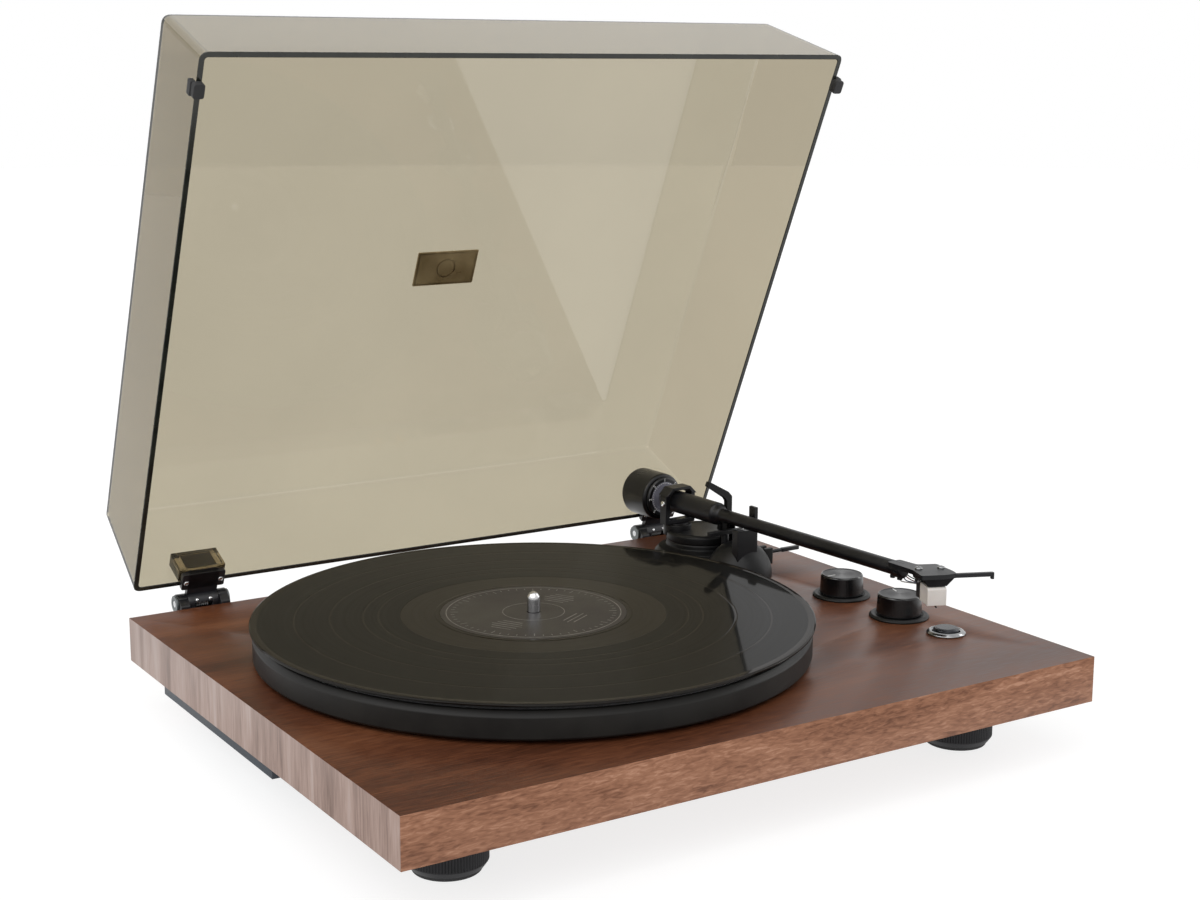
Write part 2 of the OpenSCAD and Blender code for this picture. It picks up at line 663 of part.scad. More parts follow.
module hinge_pins() color("gray") on_deck() at_hinge() {
    rod_x(hinge_pin_r, -hinge_w / 2, hinge_w / 2);
    for (side = [-1, 1]) rod_x(hinge_r - 0.6, side * 15.6 - 0.6, side * 15.6 + 0.6);
}

module hinge_springs() color("silver") on_deck() at_hinge() difference() {
    rod_x(4, -5, 5);
    rod_x(hinge_pin_r + fit_gap, -6, 6);
}

module hinge_screws() color("silver") on_deck() at_hinge() for (x = [-8, 8])
    translate([x, rear_y - hinge_y, -14 - hinge_z]) {
        rod_y(1.5, -9, 2);
        rod_y(3, 2, 3.4);
    }

plinth();
bottom_tray();
control_cover();
tray_screws();
foot_front_left();
foot_front_right();
foot_rear_left();
foot_rear_right();
foot_pads();
foot_screws();
rear_panel();
phono_sockets();
ground_terminal();
supply_inlet();
level_switch();
circuit_board();
rotary_switches();
knob_bezels();
speed_knob();
mode_knob();
button_ring();
button_cap();
button_switch();
motor();
motor_bracket();
motor_pulley();
drive_belt();
bearing_housing();
thrust_ball();
spindle();
platter();
slipmat();
record();
record_label();
arm_base();
base_nut();
antiskate_knob();
lift_platform();
cue_lever();
arm_clip();
gimbal_yoke();
pivot_screws();
arm_tube();
rear_stub();
weight_core();
counterweight();
force_dial();
headshell();
cartridge();
cartridge_screws();
stylus_holder();
stylus();
lid();
lid_bumpers();
lid_badge();
hinge_bases();
hinge_arms();
hinge_pins();
hinge_springs();
hinge_screws();
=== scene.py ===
import json
import math

import bmesh
import bpy
from mathutils import Matrix, Vector

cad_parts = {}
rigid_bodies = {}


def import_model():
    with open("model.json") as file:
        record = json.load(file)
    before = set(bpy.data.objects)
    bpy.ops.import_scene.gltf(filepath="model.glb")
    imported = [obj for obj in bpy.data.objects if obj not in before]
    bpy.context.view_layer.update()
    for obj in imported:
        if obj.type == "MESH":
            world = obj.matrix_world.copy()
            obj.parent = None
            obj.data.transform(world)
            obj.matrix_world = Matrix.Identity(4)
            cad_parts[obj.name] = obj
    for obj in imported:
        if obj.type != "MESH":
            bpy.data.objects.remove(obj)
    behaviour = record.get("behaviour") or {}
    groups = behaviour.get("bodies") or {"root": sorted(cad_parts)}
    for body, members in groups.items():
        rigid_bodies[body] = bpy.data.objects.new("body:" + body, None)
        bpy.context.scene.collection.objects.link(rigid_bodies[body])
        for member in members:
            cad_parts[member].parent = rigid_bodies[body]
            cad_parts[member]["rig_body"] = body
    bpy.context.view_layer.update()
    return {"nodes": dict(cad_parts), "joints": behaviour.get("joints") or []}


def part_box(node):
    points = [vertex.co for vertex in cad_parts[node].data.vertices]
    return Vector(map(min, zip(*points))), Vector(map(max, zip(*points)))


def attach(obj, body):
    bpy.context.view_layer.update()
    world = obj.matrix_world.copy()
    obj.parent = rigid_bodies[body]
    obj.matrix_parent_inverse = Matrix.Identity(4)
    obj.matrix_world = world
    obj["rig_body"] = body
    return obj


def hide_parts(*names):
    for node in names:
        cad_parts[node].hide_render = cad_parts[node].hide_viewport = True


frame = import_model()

# Looks of a belt-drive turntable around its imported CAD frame. Shapes are drawn in millimetres in local
# frames taken from the CAD model, and each piece rides on the body of the CAD node that it stands for.
MM = 0.001
TURN = 2 * math.pi
JOINTS = {joint["name"]: joint for joint in frame["joints"]}


# ---- Places, from the frame ----

def turned(angle, axis):
    return Matrix.Rotation(math.radians(angle), 4, axis)


def middle(node):
    low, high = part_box(node)
    return (low + high) / 2


def box_in(place, node):
    """Lowest and highest corner of a CAD node in a local frame, in millimetres."""
    back = place.inverted()
    return corners_of([back @ v.co / MM for v in frame["nodes"][node].data.vertices])


def corners_of(points):
    """Lowest and highest corner of the box round some points."""
    return [Vector([pick(p[i] for p in points) for i in range(3)]) for pick in (min, max)]


def shift(x=0, y=0, z=0):
    """A move. Millimetres inside a piece, metres for a place in the frame."""
    return Matrix.Translation((x, y, z))


def radius_and_top(place, node):
    high = box_in(place, node)[1]
    return high.x, high.z


def above(node, height):
    """A frame over the middle of a CAD node, at a height in metres."""
    return shift(middle(node).x, middle(node).y, height)


def into(place, point):
    """A point of the frame, in metres, as millimetres in a local frame."""
    return place.inverted() @ Vector(point) / MM


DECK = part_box("plinth")[1].z
ALONG_X = turned(90, "Y")
ALONG_Y = turned(-90, "X")
ON_EDGE = turned(90, "X")
TO_X = Matrix(((0, 0, 1, 0), (1, 0, 0, 0), (0, 1, 0, 0), (0, 0, 0, 1)))
SIDES = ((-1, "left"), (1, "right"))
ARM_AXIS = JOINTS["weight_travel"]["axis"]
AT_SPINDLE = above("spindle", DECK)
AT_MOTOR = above("motor", DECK)
AT_ARM = shift(*JOINTS["tonearm_swing"]["pos_m"]) @ turned(
    math.degrees(math.atan2(-ARM_AXIS[0], ARM_AXIS[1])), "Z")
HEAD_OFFSET = -26
HEAD = box_in(AT_ARM, "cartridge_screws")
AT_HEAD = AT_ARM @ shift(*((HEAD[0] + HEAD[1]) / 2 * MM).xy) @ turned(HEAD_OFFSET, "Z")
AT_LID = shift(*JOINTS["lid_hinge"]["pos_m"]) @ turned(JOINTS["lid_hinge"]["range_deg"][0], "X")
AT_HINGE = shift(*JOINTS["lid_hinge"]["pos_m"])
PIN_REACH = 16.2
HINGE_X = box_in(AT_HINGE, "hinge_pins")[1].x - PIN_REACH


# ---- Shapes, in millimetres ----

def arc(cx, cy, r, start, end, steps):
    """Points of an arc between two angles in degrees."""
    angles = [math.radians(start + (end - start) * i / steps) for i in range(steps + 1)]
    return [(cx + r * math.cos(a), cy + r * math.sin(a)) for a in angles]


def rectangle(x0, y0, x1, y1):
    return [(x0, y0), (x1, y0), (x1, y1), (x0, y1)]


def soft(points, radius, steps=3, closed=True):
    """An outline with its corners rounded."""
    made = []
    for i, point in enumerate(points):
        corner = Vector(point)
        if not closed and i in (0, len(points) - 1):
            made.append(corner)
            continue
        before, after = Vector(points[i - 1]) - corner, Vector(points[(i + 1) % len(points)]) - corner
        reach = min(radius, before.length * 0.48, after.length * 0.48)
        a, b = corner + before.normalized() * reach, corner + after.normalized() * reach
        for step in range(steps + 1):
            t = step / steps
            made.append(a.lerp(corner, t).lerp(corner.lerp(b, t), t))
    return made


def flowing(points, steps=6):
    """A smooth line through points, as a Catmull-Rom spline."""
    p = [Vector(q) for q in points]
    p = [2 * p[0] - p[1]] + p + [2 * p[-1] - p[-2]]
    made = []
    for a, b, c, d in zip(p, p[1:], p[2:], p[3:]):
        for i in range(steps):
            t = i / steps
            made.append(0.5 * (2 * b + (c - a) * t + (2 * a - 5 * b + 4 * c - d) * t * t
                               + (3 * b - a - 3 * c + d) * t ** 3))
    return made + [p[-2]]


def ring_faces(bm, rings, loop):
    """Quads between rows of points, closed round each row."""
    for a, b in zip(rings, rings[1:] + rings[:1] if loop else rings[1:]):
        n = max(len(a), len(b))
        for i in range(n):
            j = (i + 1) % n
            corners = [a[i % len(a)], a[j % len(a)], b[j % len(b)], b[i % len(b)]]
            corners = list(dict.fromkeys(corners))
            if len(corners) > 2:
                bm.faces.new(corners)


def lathe(bm, profile, place=Matrix(), segments=96, wave=None):
    """A body of revolution about Z. A profile that starts off the axis is a closed ring."""
    rings = []
    for r, z in profile:
        if r < 1e-4:
            rings.append([bm.verts.new(place @ Vector((0, 0, z)))])
            continue
        ring = []
        for i in range(segments):
            a = TURN * i / segments
            reach = r + (wave(a, r, z) if wave else 0)
            ring.append(bm.verts.new(place @ Vector((reach * math.cos(a), reach * math.sin(a), z))))
        rings.append(ring)
    ring_faces(bm, rings, loop=profile[0][0] > 1e-4)
    return bm


def grooved(count, depth, inside, low=-math.inf, high=math.inf, power=1):
    """A wave for lathe: upright grooves beyond a radius and between two heights."""
    def wave(angle, reach, z):
        if reach > inside and low < z < high:
            return -depth * (0.5 + 0.5 * math.cos(count * angle)) ** power
        return 0
    return wave


def loft(bm, loops, place=Matrix()):
    """A skin over loops of points, closed at both ends."""
    rings = [[bm.verts.new(place @ Vector(p)) for p in loop] for loop in loops]
    ring_faces(bm, rings, loop=False)
    bm.faces.new(rings[0])
    bm.faces.new(rings[-1])
    return bm


def level(outline, z):
    """An outline's points at a height."""
    return [(x, y, z) for x, y in outline]


def prism(bm, outline, z0, z1, place=Matrix()):
    return loft(bm, [level(outline, z) for z in (z0, z1)], place)


def block(bm, low, high, place=Matrix(), round_by=0.0):
    outline = rectangle(low[0], low[1], high[0], high[1])
    return prism(bm, soft(outline, round_by) if round_by else outline, low[2], high[2], place)


def sweep(bm, path, radius, place=Matrix(), sides=14):
    """A round bar along a path. The radius is one number, or one for each point."""
    points = [Vector(p) for p in path]
    side, loops = None, []
    for i, p in enumerate(points):
        ahead = (points[min(i + 1, len(points) - 1)] - points[max(i - 1, 0)]).normalized()
        side = ahead.orthogonal() if side is None else side - ahead * side.dot(ahead)
        side.normalize()
        other = ahead.cross(side)
        r = radius[i] if isinstance(radius, list) else radius
        loops.append([p + (side * math.cos(TURN * k / sides) + other * math.sin(TURN * k / sides)) * r
                      for k in range(sides)])
    return loft(bm, loops, place)


def disc(bm, r, z0, z1, place=Matrix(), edge=0.3, segments=48):
    """A short round bar along Z with eased edges."""
    edge = min(edge, r * 0.5, abs(z1 - z0) * 0.45)
    return lathe(bm, soft([(0, z0), (r, z0), (r, z1), (0, z1)], edge, 3, closed=False), place, segments)


def screw_head(bm, r, h, place=Matrix()):
    """A pan head on the XY plane, its top towards +Z, with a recess in the middle."""
    dome = [(r * x, h * (0.35 + 0.65 * y)) for x, y in arc(0, 0, 1, 0, 75, 5)]
    return lathe(bm, [(0, 0), (r, 0)] + dome + [(r * 0.2, h), (r * 0.2, h * 0.45), (0, h * 0.4)], place, 32)


# ---- Pieces ----

def mesh_of(name, bm):
    """A mesh in metres from a shape in millimetres."""
    mesh = bpy.data.meshes.new(name)
    bm.to_mesh(mesh)
    bm.free()
    mesh.transform(Matrix.Scale(MM, 4))
    return mesh


def in_scene(name, data):
    made = bpy.data.objects.new(name, data)
    bpy.context.scene.collection.objects.link(made)
    return made


def piece(name, bm, node, finishes, place=Matrix(), bevel=0.0, smooth=35, stands_for=True):
    """A piece on the body of a CAD node, with the given finishes."""
    bmesh.ops.recalc_face_normals(bm, faces=bm.faces)
    mesh = mesh_of(name, bm)
    for key in finishes if isinstance(finishes, list) else [finishes]:
        mesh.materials.append(FINISH[key])
    mesh.shade_smooth()
    obj = in_scene(name, mesh)
    if bevel:
        edges = obj.modifiers.new("edges", "BEVEL")
        edges.width = bevel * MM
        edges.segments = 2
        edges.limit_method = "ANGLE"
        edges.angle_limit = math.radians(smooth)
        edges.harden_normals = True
    else:
        mesh.set_sharp_from_angle(angle=math.radians(smooth))
        flats = obj.modifiers.new("flats", "WEIGHTED_NORMAL")
        flats.weight, flats.keep_sharp = 100, True
    obj.matrix_world = place
    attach(obj, frame["nodes"][node]["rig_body"])
    if stands_for:
        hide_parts(node)
    return obj


def refined(node, finish, bevel=0.2, place=Matrix(), paint=None):
    """The CAD node's own shape with flat faces merged and edges eased. paint gives a face's material."""
    bm = bmesh.new()
    bm.from_mesh(frame["nodes"][node].data)
    bmesh.ops.remove_doubles(bm, verts=bm.verts, dist=1e-6)
    bmesh.ops.transform(bm, matrix=Matrix.Scale(1 / MM, 4) @ place.inverted(), verts=bm.verts)
    bmesh.ops.dissolve_limit(bm, angle_limit=math.radians(1), verts=bm.verts, edges=bm.edges)
    if paint:
        bm.normal_update()
        for face in bm.faces:
            face.material_index = paint(face)
    return piece("fine_" + node, bm, node, finish, place, bevel)


# ---- Finishes ----

def rgb(screen, gain=1.0):
    """A shader colour from its three values on a screen, from 0 to 255."""
    return [gain * (v / 255 / 12.92 if v < 11 else ((v / 255 + 0.055) / 1.055) ** 2.4) for v in screen] + [1]


def add(tree, kind, inputs, **settings):
    """A shader node. Its inputs are set, or linked when given another node's output."""
    node = tree.nodes.new("ShaderNode" + kind)
    for name, value in settings.items():
        setattr(node, name, value)
    feed(tree, node, inputs)
    return node


def feed(tree, node, inputs):
    for socket, value in inputs.items():
        if isinstance(value, bpy.types.NodeSocket):
            tree.links.new(value, node.inputs[socket])
        else:
            node.inputs[socket].default_value = value


def surface(name):
    """A new material, its node tree and its shader."""
    made = bpy.data.materials.new(name)
    made.use_nodes = True
    return made, made.node_tree, made.node_tree.nodes["Principled BSDF"]


def place_in(tree):
    return add(tree, "TexCoord", {}).outputs["Object"]


def noise(tree, scale, stretch=(1, 1, 1), detail=3.0, distortion=0.0):
    where = add(tree, "Mapping", {"Vector": place_in(tree), "Scale": stretch}).outputs["Vector"]
    return add(tree, "TexNoise", {"Vector": where, "Scale": scale, "Detail": detail,
                                  "Distortion": distortion}).outputs["Fac"]


def rings(tree, scale, detail=5.0):
    """Noise that changes only with the distance from the piece's own Z axis."""
    flat = add(tree, "VectorMath", {0: place_in(tree), 1: (1, 1, 0)}, operation="MULTIPLY").outputs[0]
    far = add(tree, "VectorMath", {0: flat}, operation="LENGTH").outputs["Value"]
    return add(tree, "TexNoise", {"W": far, "Scale": scale, "Detail": detail},
               noise_dimensions="1D").outputs["Fac"]


def ramp(tree, value, stops):
    node = add(tree, "ValToRGB", {"Fac": value})
    line = node.color_ramp.elements
    line.remove(line[1])
    line[0].position, line[0].color = stops[0]
    for place, colour in stops[1:]:
        line.new(place).color = colour
    return node.outputs["Color"]


def ranged(tree, value, low, high):
    return add(tree, "MapRange", {"Value": value, "From Min": 0.3, "From Max": 0.7,
                                  "To Min": low, "To Max": high}).outputs["Result"]


def relief(tree, height, strength, depth=0.0003):
    return add(tree, "Bump", {"Height": height, "Strength": strength, "Distance": depth}).outputs["Normal"]


def finish(name, dark, light, rough=(0.35, 0.5), patch=45, grain=1400, bump=0.12, gloss=0.5, **shader):
    """A surface with slow changes of colour and gloss and a fine relief."""
    made, tree, shine = surface(name)
    slow = noise(tree, patch)
    feed(tree, shine, {"Base Color": ramp(tree, slow, [(0.36, rgb(dark)), (0.64, rgb(light))]),
                       "Roughness": ranged(tree, slow, *rough),
                       "Normal": relief(tree, noise(tree, grain), bump), "Specular IOR Level": gloss})
    feed(tree, shine, {key.replace("_", " "): value for key, value in shader.items()})
    return made


def metal(name, dark, light, rough=(0.15, 0.3), **extra):
    return finish(name, dark, light, rough, bump=0.05, Metallic=1.0, **extra)


def turned_metal(name, dark, light, rough=(0.25, 0.4), metallic=1.0, streak=0.7, lines=5200):
    """Metal turned on a lathe about the piece's Z axis, its highlights drawn out across the lines."""
    made, tree, shine = surface(name)
    line = rings(tree, lines)
    feed(tree, shine, {"Base Color": ramp(tree, rings(tree, lines / 9),
                                          [(0.35, rgb(dark)), (0.65, rgb(light))]),
                       "Roughness": ranged(tree, noise(tree, 60), *rough), "Metallic": metallic,
                       "Anisotropic": streak, "Normal": relief(tree, line, 0.25, 0.00005),
                       "Tangent": add(tree, "Tangent", {}, direction_type="RADIAL", axis="Z").outputs[0]})
    return made


def walnut(name, stops, run, cross, fibre=1.0, wander=0.8, rough=(0.34, 0.44)):
    """Wood veneer. run and cross scale its slow figure and its fine flecks along the three axes."""
    made, tree, shine = surface(name)
    figure = noise(tree, 1, run, 5, wander)
    flecks = noise(tree, 1, cross, 6, wander / 2)
    part = add(tree, "Math", {0: flecks, 1: fibre}, operation="MULTIPLY").outputs[0]
    both = add(tree, "Math", {0: figure, 1: part}, operation="ADD").outputs[0]
    even = add(tree, "Math", {0: both, 1: 1 + fibre}, operation="DIVIDE").outputs[0]
    feed(tree, shine, {"Base Color": ramp(tree, even, [(at, rgb(colour)) for at, colour in stops]),
                       "Roughness": ranged(tree, flecks, *rough), "Normal": relief(tree, flecks, 0.2, 0.0002),
                       "Specular IOR Level": 0.25})
    return made


def acrylic(name, tint, bend=1.49, rough=0.02):
    """Clear smoked plastic. Light that makes shadows passes straight through and takes the tint."""
    made, tree, shine = surface(name)
    haze = noise(tree, 9, detail=4)
    feed(tree, shine, {"Base Color": ramp(tree, haze, [(0.3, rgb(tint)), (0.7, rgb(tint, 1.06))]),
                       "Roughness": ranged(tree, noise(tree, 30), rough, rough * 2), "IOR": bend,
                       "Transmission Weight": 1.0, "Normal": relief(tree, noise(tree, 14), 0.02)})
    clear = add(tree, "BsdfTransparent", {"Color": [math.sqrt(c) for c in rgb(tint)]})
    shadow = add(tree, "LightPath", {}).outputs["Is Shadow Ray"]
    mixed = add(tree, "MixShader", {0: shadow, 1: shine.outputs[0], 2: clear.outputs[0]})
    tree.links.new(mixed.outputs[0], tree.nodes["Material Output"].inputs["Surface"])
    return made


def vinyl(name, mirror, lid_reflection_brown):
    """Grooved record plastic, glossy across the grooves and drawn out along its radius."""
    # The brown added to both colours is a painted reflection of the smoked lid.
    dark, light = (6 + lid_reflection_brown, 6 + lid_reflection_brown / 2, 5), (11 + lid_reflection_brown, 10 + lid_reflection_brown / 2, 9)
    made, tree, shine = surface(name)
    band = rings(tree, 420, 3)
    feed(tree, shine, {"Base Color": ramp(tree, band, [(0.35, rgb(dark)), (0.65, rgb(light))]),
                       "Roughness": ranged(tree, band, 0.3, 0.36), "Anisotropic": 0.8,
                       "Specular IOR Level": 0.01, "Coat Weight": mirror, "Coat Roughness": 0.05,
                       "Normal": relief(tree, rings(tree, 3000, 2), 0.1, 0.00002),
                       "Tangent": add(tree, "Tangent", {}, direction_type="RADIAL", axis="Z").outputs[0]})
    return made


FINISH = {
    "wood_top": walnut("walnut_top", [(0.34, (52, 27, 15)), (0.46, (78, 43, 26)), (0.54, (95, 55, 34)),
                                      (0.68, (120, 75, 49))], (2.4, 17, 26), (85, 950, 950), 0.75),
    "wood_face": walnut("walnut_face", [(0.34, (100, 62, 42)), (0.45, (132, 88, 64)), (0.55, (152, 106, 80)),
                                        (0.66, (178, 132, 106))], (9, 30, 90), (150, 600, 720), 1.3, 1.6),
    # The end faces' colours are partly the walnut's own and partly painted sheen: their greyish-pink tone and
    # pale pink-to-grey bands stand for light and reflection falling on the ends.
    "wood_side": walnut("walnut_side_with_painted_sheen", [(0.34, (112, 90, 80)), (0.46, (142, 119, 109)),
                                        (0.54, (158, 135, 125)), (0.66, (170, 152, 145))], (30, 75, 6),
                                        (500, 640, 60), 0.5),
    "tray": finish("tray_paint", (40, 46, 54), (56, 64, 72), (0.4, 0.55), Metallic=0.3),
    "steel": metal("zinc_steel", (150, 150, 150), (190, 190, 188), (0.25, 0.4)),
    "black_oxide": metal("black_oxide", (34, 34, 36), (58, 58, 60), (0.3, 0.45)),
    "foot": finish("foot_plastic", (22, 22, 25), (32, 32, 35), (0.42, 0.6), bump=0.25, gloss=0.3),
    "rubber": finish("rubber", (22, 22, 23), (36, 36, 37), (0.6, 0.8), bump=0.3),
    "gold": metal("gold_plate", (196, 158, 88), (222, 186, 112), (0.15, 0.25)),
    "moulded": finish("moulded_black", (20, 20, 21), (32, 32, 33), (0.38, 0.55), bump=0.3),
    "board": finish("board_mask", (14, 66, 38), (22, 88, 52), (0.25, 0.4), patch=220),
    "switch": finish("switch_plastic", (92, 92, 94), (116, 116, 118), (0.4, 0.55)),
    "knob": finish("knob_black", (13, 13, 14), (20, 20, 22), (0.14, 0.22), bump=0.05),
    "dish": finish("dish_black", (12, 12, 12), (19, 18, 18), (0.34, 0.5), bump=0.1, gloss=0.25),
    "knob_top": turned_metal("knob_top", (40, 40, 41), (60, 60, 61), (0.28, 0.4), 0.75, 0.75),
    "white": finish("white_print", (205, 205, 204), (228, 228, 227), (0.4, 0.5)),
    "dark_chrome": metal("dark_chrome", (128, 129, 130), (152, 153, 154), (0.12, 0.22)),
    "chrome": metal("chrome", (196, 198, 200), (222, 223, 224), (0.06, 0.14)),
    "turned": turned_metal("turned_steel", (170, 170, 171), (206, 206, 206), (0.16, 0.28)),
    "button": finish("button_black", (22, 24, 28), (36, 38, 44), (0.22, 0.34), Metallic=0.4),
    "motor": metal("motor_can", (150, 150, 152), (182, 182, 184), (0.3, 0.42)),
    "bracket": metal("bracket_zinc", (120, 120, 122), (156, 156, 156), (0.32, 0.5), patch=120),
    "brass": turned_metal("turned_brass", (176, 138, 78), (208, 172, 106)),
    "platter": finish("platter_paint", (24, 23, 22), (32, 31, 29), (0.4, 0.5), bump=0.1, grain=2600,
                      gloss=0.2),
    "felt": finish("felt", (24, 24, 25), (50, 50, 52), (0.85, 0.97), 700, 3000, 0.8, Sheen_Weight=0.35),
    "vinyl": vinyl("vinyl_grooves", 0.27, 0),
    # The smooth dead wax, rim and band gaps get a brown tint, which is a painted reflection of the lid.
    "vinyl_smooth_painted_reflection": vinyl("vinyl_smooth_painted_reflection", 0.36, 9),
    "label": finish("label_paper", (24, 21, 21), (34, 30, 30), (0.32, 0.45), patch=30, grain=2600,
                    gloss=0.3),
    "silver": metal("silver_ink", (128, 124, 124), (160, 156, 156), (0.35, 0.5), patch=300),
    "arm": finish("arm_satin", (14, 14, 16), (24, 24, 27), (0.3, 0.42), bump=0.08, Metallic=0.2,
                  gloss=0.35),
    "arm_plastic": finish("arm_texture", (9, 9, 10), (17, 17, 18), (0.38, 0.52), grain=2400, bump=0.14,
                          gloss=0.25),
    "weight": finish("weight_satin", (12, 12, 13), (20, 20, 22), (0.26, 0.4), bump=0.08, Metallic=0.3),
    "dial": finish("dial_plastic", (104, 104, 116), (130, 130, 142), (0.35, 0.5)),
    "cartridge": finish("cartridge_black", (22, 22, 23), (34, 34, 35), (0.32, 0.48), bump=0.2),
    "ivory": finish("stylus_ivory", (210, 204, 198), (224, 218, 212), (0.35, 0.5), bump=0.12,
                    Subsurface_Weight=0.15, Subsurface_Radius=(0.002, 0.0015, 0.001)),
    "cantilever": metal("cantilever", (44, 42, 42), (60, 58, 57), (0.25, 0.35)),
    "smoked": acrylic("smoked_acrylic", (178, 170, 149)),
    "smoked_wall": acrylic("smoked_wall", (174, 165, 144), bend=1.2),
    "smoked_edge": finish("smoked_edge", (22, 24, 20), (40, 42, 36), (0.12, 0.22), bump=0.03),
    "smoked_thick": acrylic("smoked_thick", (166, 152, 124)),
    "badge": finish("badge_plate", (124, 106, 72), (146, 128, 92), (0.25, 0.4), Metallic=0.5),
    "badge_line": metal("badge_line", (140, 124, 90), (168, 152, 116), (0.25, 0.35)),
    "hinge": finish("hinge_black", (22, 22, 25), (36, 36, 40), (0.26, 0.4), bump=0.15),
    "hinge_cap": finish("hinge_cap", (96, 102, 104), (122, 128, 130), (0.35, 0.5), Metallic=0.4),
    "wire": metal("spring_wire", (130, 130, 132), (172, 172, 172), (0.2, 0.35)),
    "lead_red": finish("lead_red", (120, 44, 36), (150, 60, 50), (0.4, 0.55)),
    "lead_white": finish("lead_white", (170, 168, 160), (196, 194, 188), (0.4, 0.55)),
    "lead_green": finish("lead_green", (36, 84, 58), (50, 104, 74), (0.4, 0.55)),
    "lead_blue": finish("lead_blue", (34, 54, 96), (48, 70, 118), (0.4, 0.55)),
}


# ---- More shapes and small helpers ----

def hollow(bm, outer, inner, z0, z1, place=Matrix()):
    """A wall between two outlines with the same number of points."""
    rows = [[bm.verts.new(place @ Vector(p)) for p in level(line, z)]
            for line, z in ((outer, z0), (outer, z1), (inner, z1), (inner, z0))]
    ring_faces(bm, rows, loop=True)
    return bm


def oblong(x0, y0, x1, y1, radius, steps=4):
    return soft(rectangle(x0, y0, x1, y1), radius, steps)


def both_sides(points):
    """A line of points followed by its mirror image in X, to make an outline."""
    return points + [(-x, y) for x, y in reversed(points)]


def paint(bm, rule):
    """Sets each face's material from its middle."""
    for face in bm.faces:
        face.material_index = rule(face.calc_center_median())
    return bm


def spun(name, node, finishes, profile, place, edge=0.3, segments=96, wave=None, rule=None, **extra):
    """A piece that is one body of revolution with eased corners."""
    open_line = profile[0][0] < 1e-4
    bm = lathe(bmesh.new(), soft(profile, edge, 3, closed=not open_line), segments=segments, wave=wave)
    return piece(name, paint(bm, rule) if rule else bm, node, finishes, place, **extra)


# ---- Plinth, tray and feet ----

def settled(bm, place):
    """Turns a shape from a local frame to the frame's own axes, which keeps its box tight."""
    bmesh.ops.transform(bm, matrix=Matrix.Scale(1 / MM, 4) @ place @ Matrix.Scale(MM, 4), verts=bm.verts)
    return bm


# Top, front and back, and ends each get their own walnut colours; the ends' colours include painted sheen.
def wood_side(face):
    return 0 if abs(face.normal.z) > 0.7 else 1 if abs(face.normal.y) > 0.7 else 2


def make_base():
    refined("plinth", ["wood_top", "wood_face", "wood_side"], 0.35, paint=wood_side)
    for node in ("bottom_tray", "control_cover", "rear_panel"):
        refined(node, "tray", 0.35)
    make_screws("tray_screws", "black_oxide", -1)
    for node in ("foot_front_left", "foot_front_right", "foot_rear_left", "foot_rear_right"):
        make_foot(node)
    make_screws("foot_screws", "steel", -1)


def make_foot(node):
    place = above(node, 0)
    r, top = radius_and_top(place, node)
    low, high, ribs = 5.4, 18.8, 84
    spun("rib_" + node, node, "foot",
         [(2.1, top), (2.1, 9), (4.5, 9), (4.5, 3.4), (r - 3.5, 3.4), (r - 3.5, 2), (r - 2.5, 2),
          (r - 0.4, 5), (r - 0.4, low + 0.6), (r - 0.4, high - 0.6), (r - 0.4, 19.1), (r, 19.7), (r, 22),
          (r - 1.6, 23), (r - 2, top)],
         place, edge=0.35, segments=ribs * 6, wave=grooved(ribs, 0.4, r - 0.7, low, high, 2), smooth=40)
    spun("pad_" + node, "foot_pads", "rubber", rectangle(0, 0, r - 3.55, 3.4),
         place, edge=0.6, segments=64)


def solids_of(node):
    """The separate closed parts of a CAD node as boxes, lowest and highest corner in metres."""
    mesh = frame["nodes"][node].data
    bm = bmesh.new()
    bm.from_mesh(mesh)
    bmesh.ops.remove_doubles(bm, verts=bm.verts, dist=1e-6)
    left, boxes = set(bm.verts), []
    while left:
        found, edge = set(), [min(left, key=lambda v: v.index)]
        while edge:
            vert = edge.pop()
            if vert in found:
                continue
            found.add(vert)
            edge += [e.other_vert(vert) for e in vert.link_edges]
        left -= found
        boxes.append(corners_of([vert.co.copy() for vert in found]))
    bm.free()
    return sorted(boxes, key=lambda b: tuple(b[0]))


def make_screws(node, finish_name, up):
    """Cross-head screws for each upright screw of a node, the heads up or down."""
    for i, (low, high) in enumerate(solids_of(node)):
        place = shift((low.x + high.x) / 2, (low.y + high.y) / 2, low.z if up < 0 else high.z)
        length, head = (high.z - low.z) / MM, (high.x - low.x) / 2 / MM
        turn = turned(180, "X") if up < 0 else Matrix()
        bm = screw_head(bmesh.new(), head, head * 0.45, shift(z=-head * 0.45))
        disc(bm, head * 0.5, -length, -head * 0.4, segments=24)
        piece("%s_%d" % (node, i), bm, node, finish_name, place @ turn)


# ---- Rear sockets and electronics ----

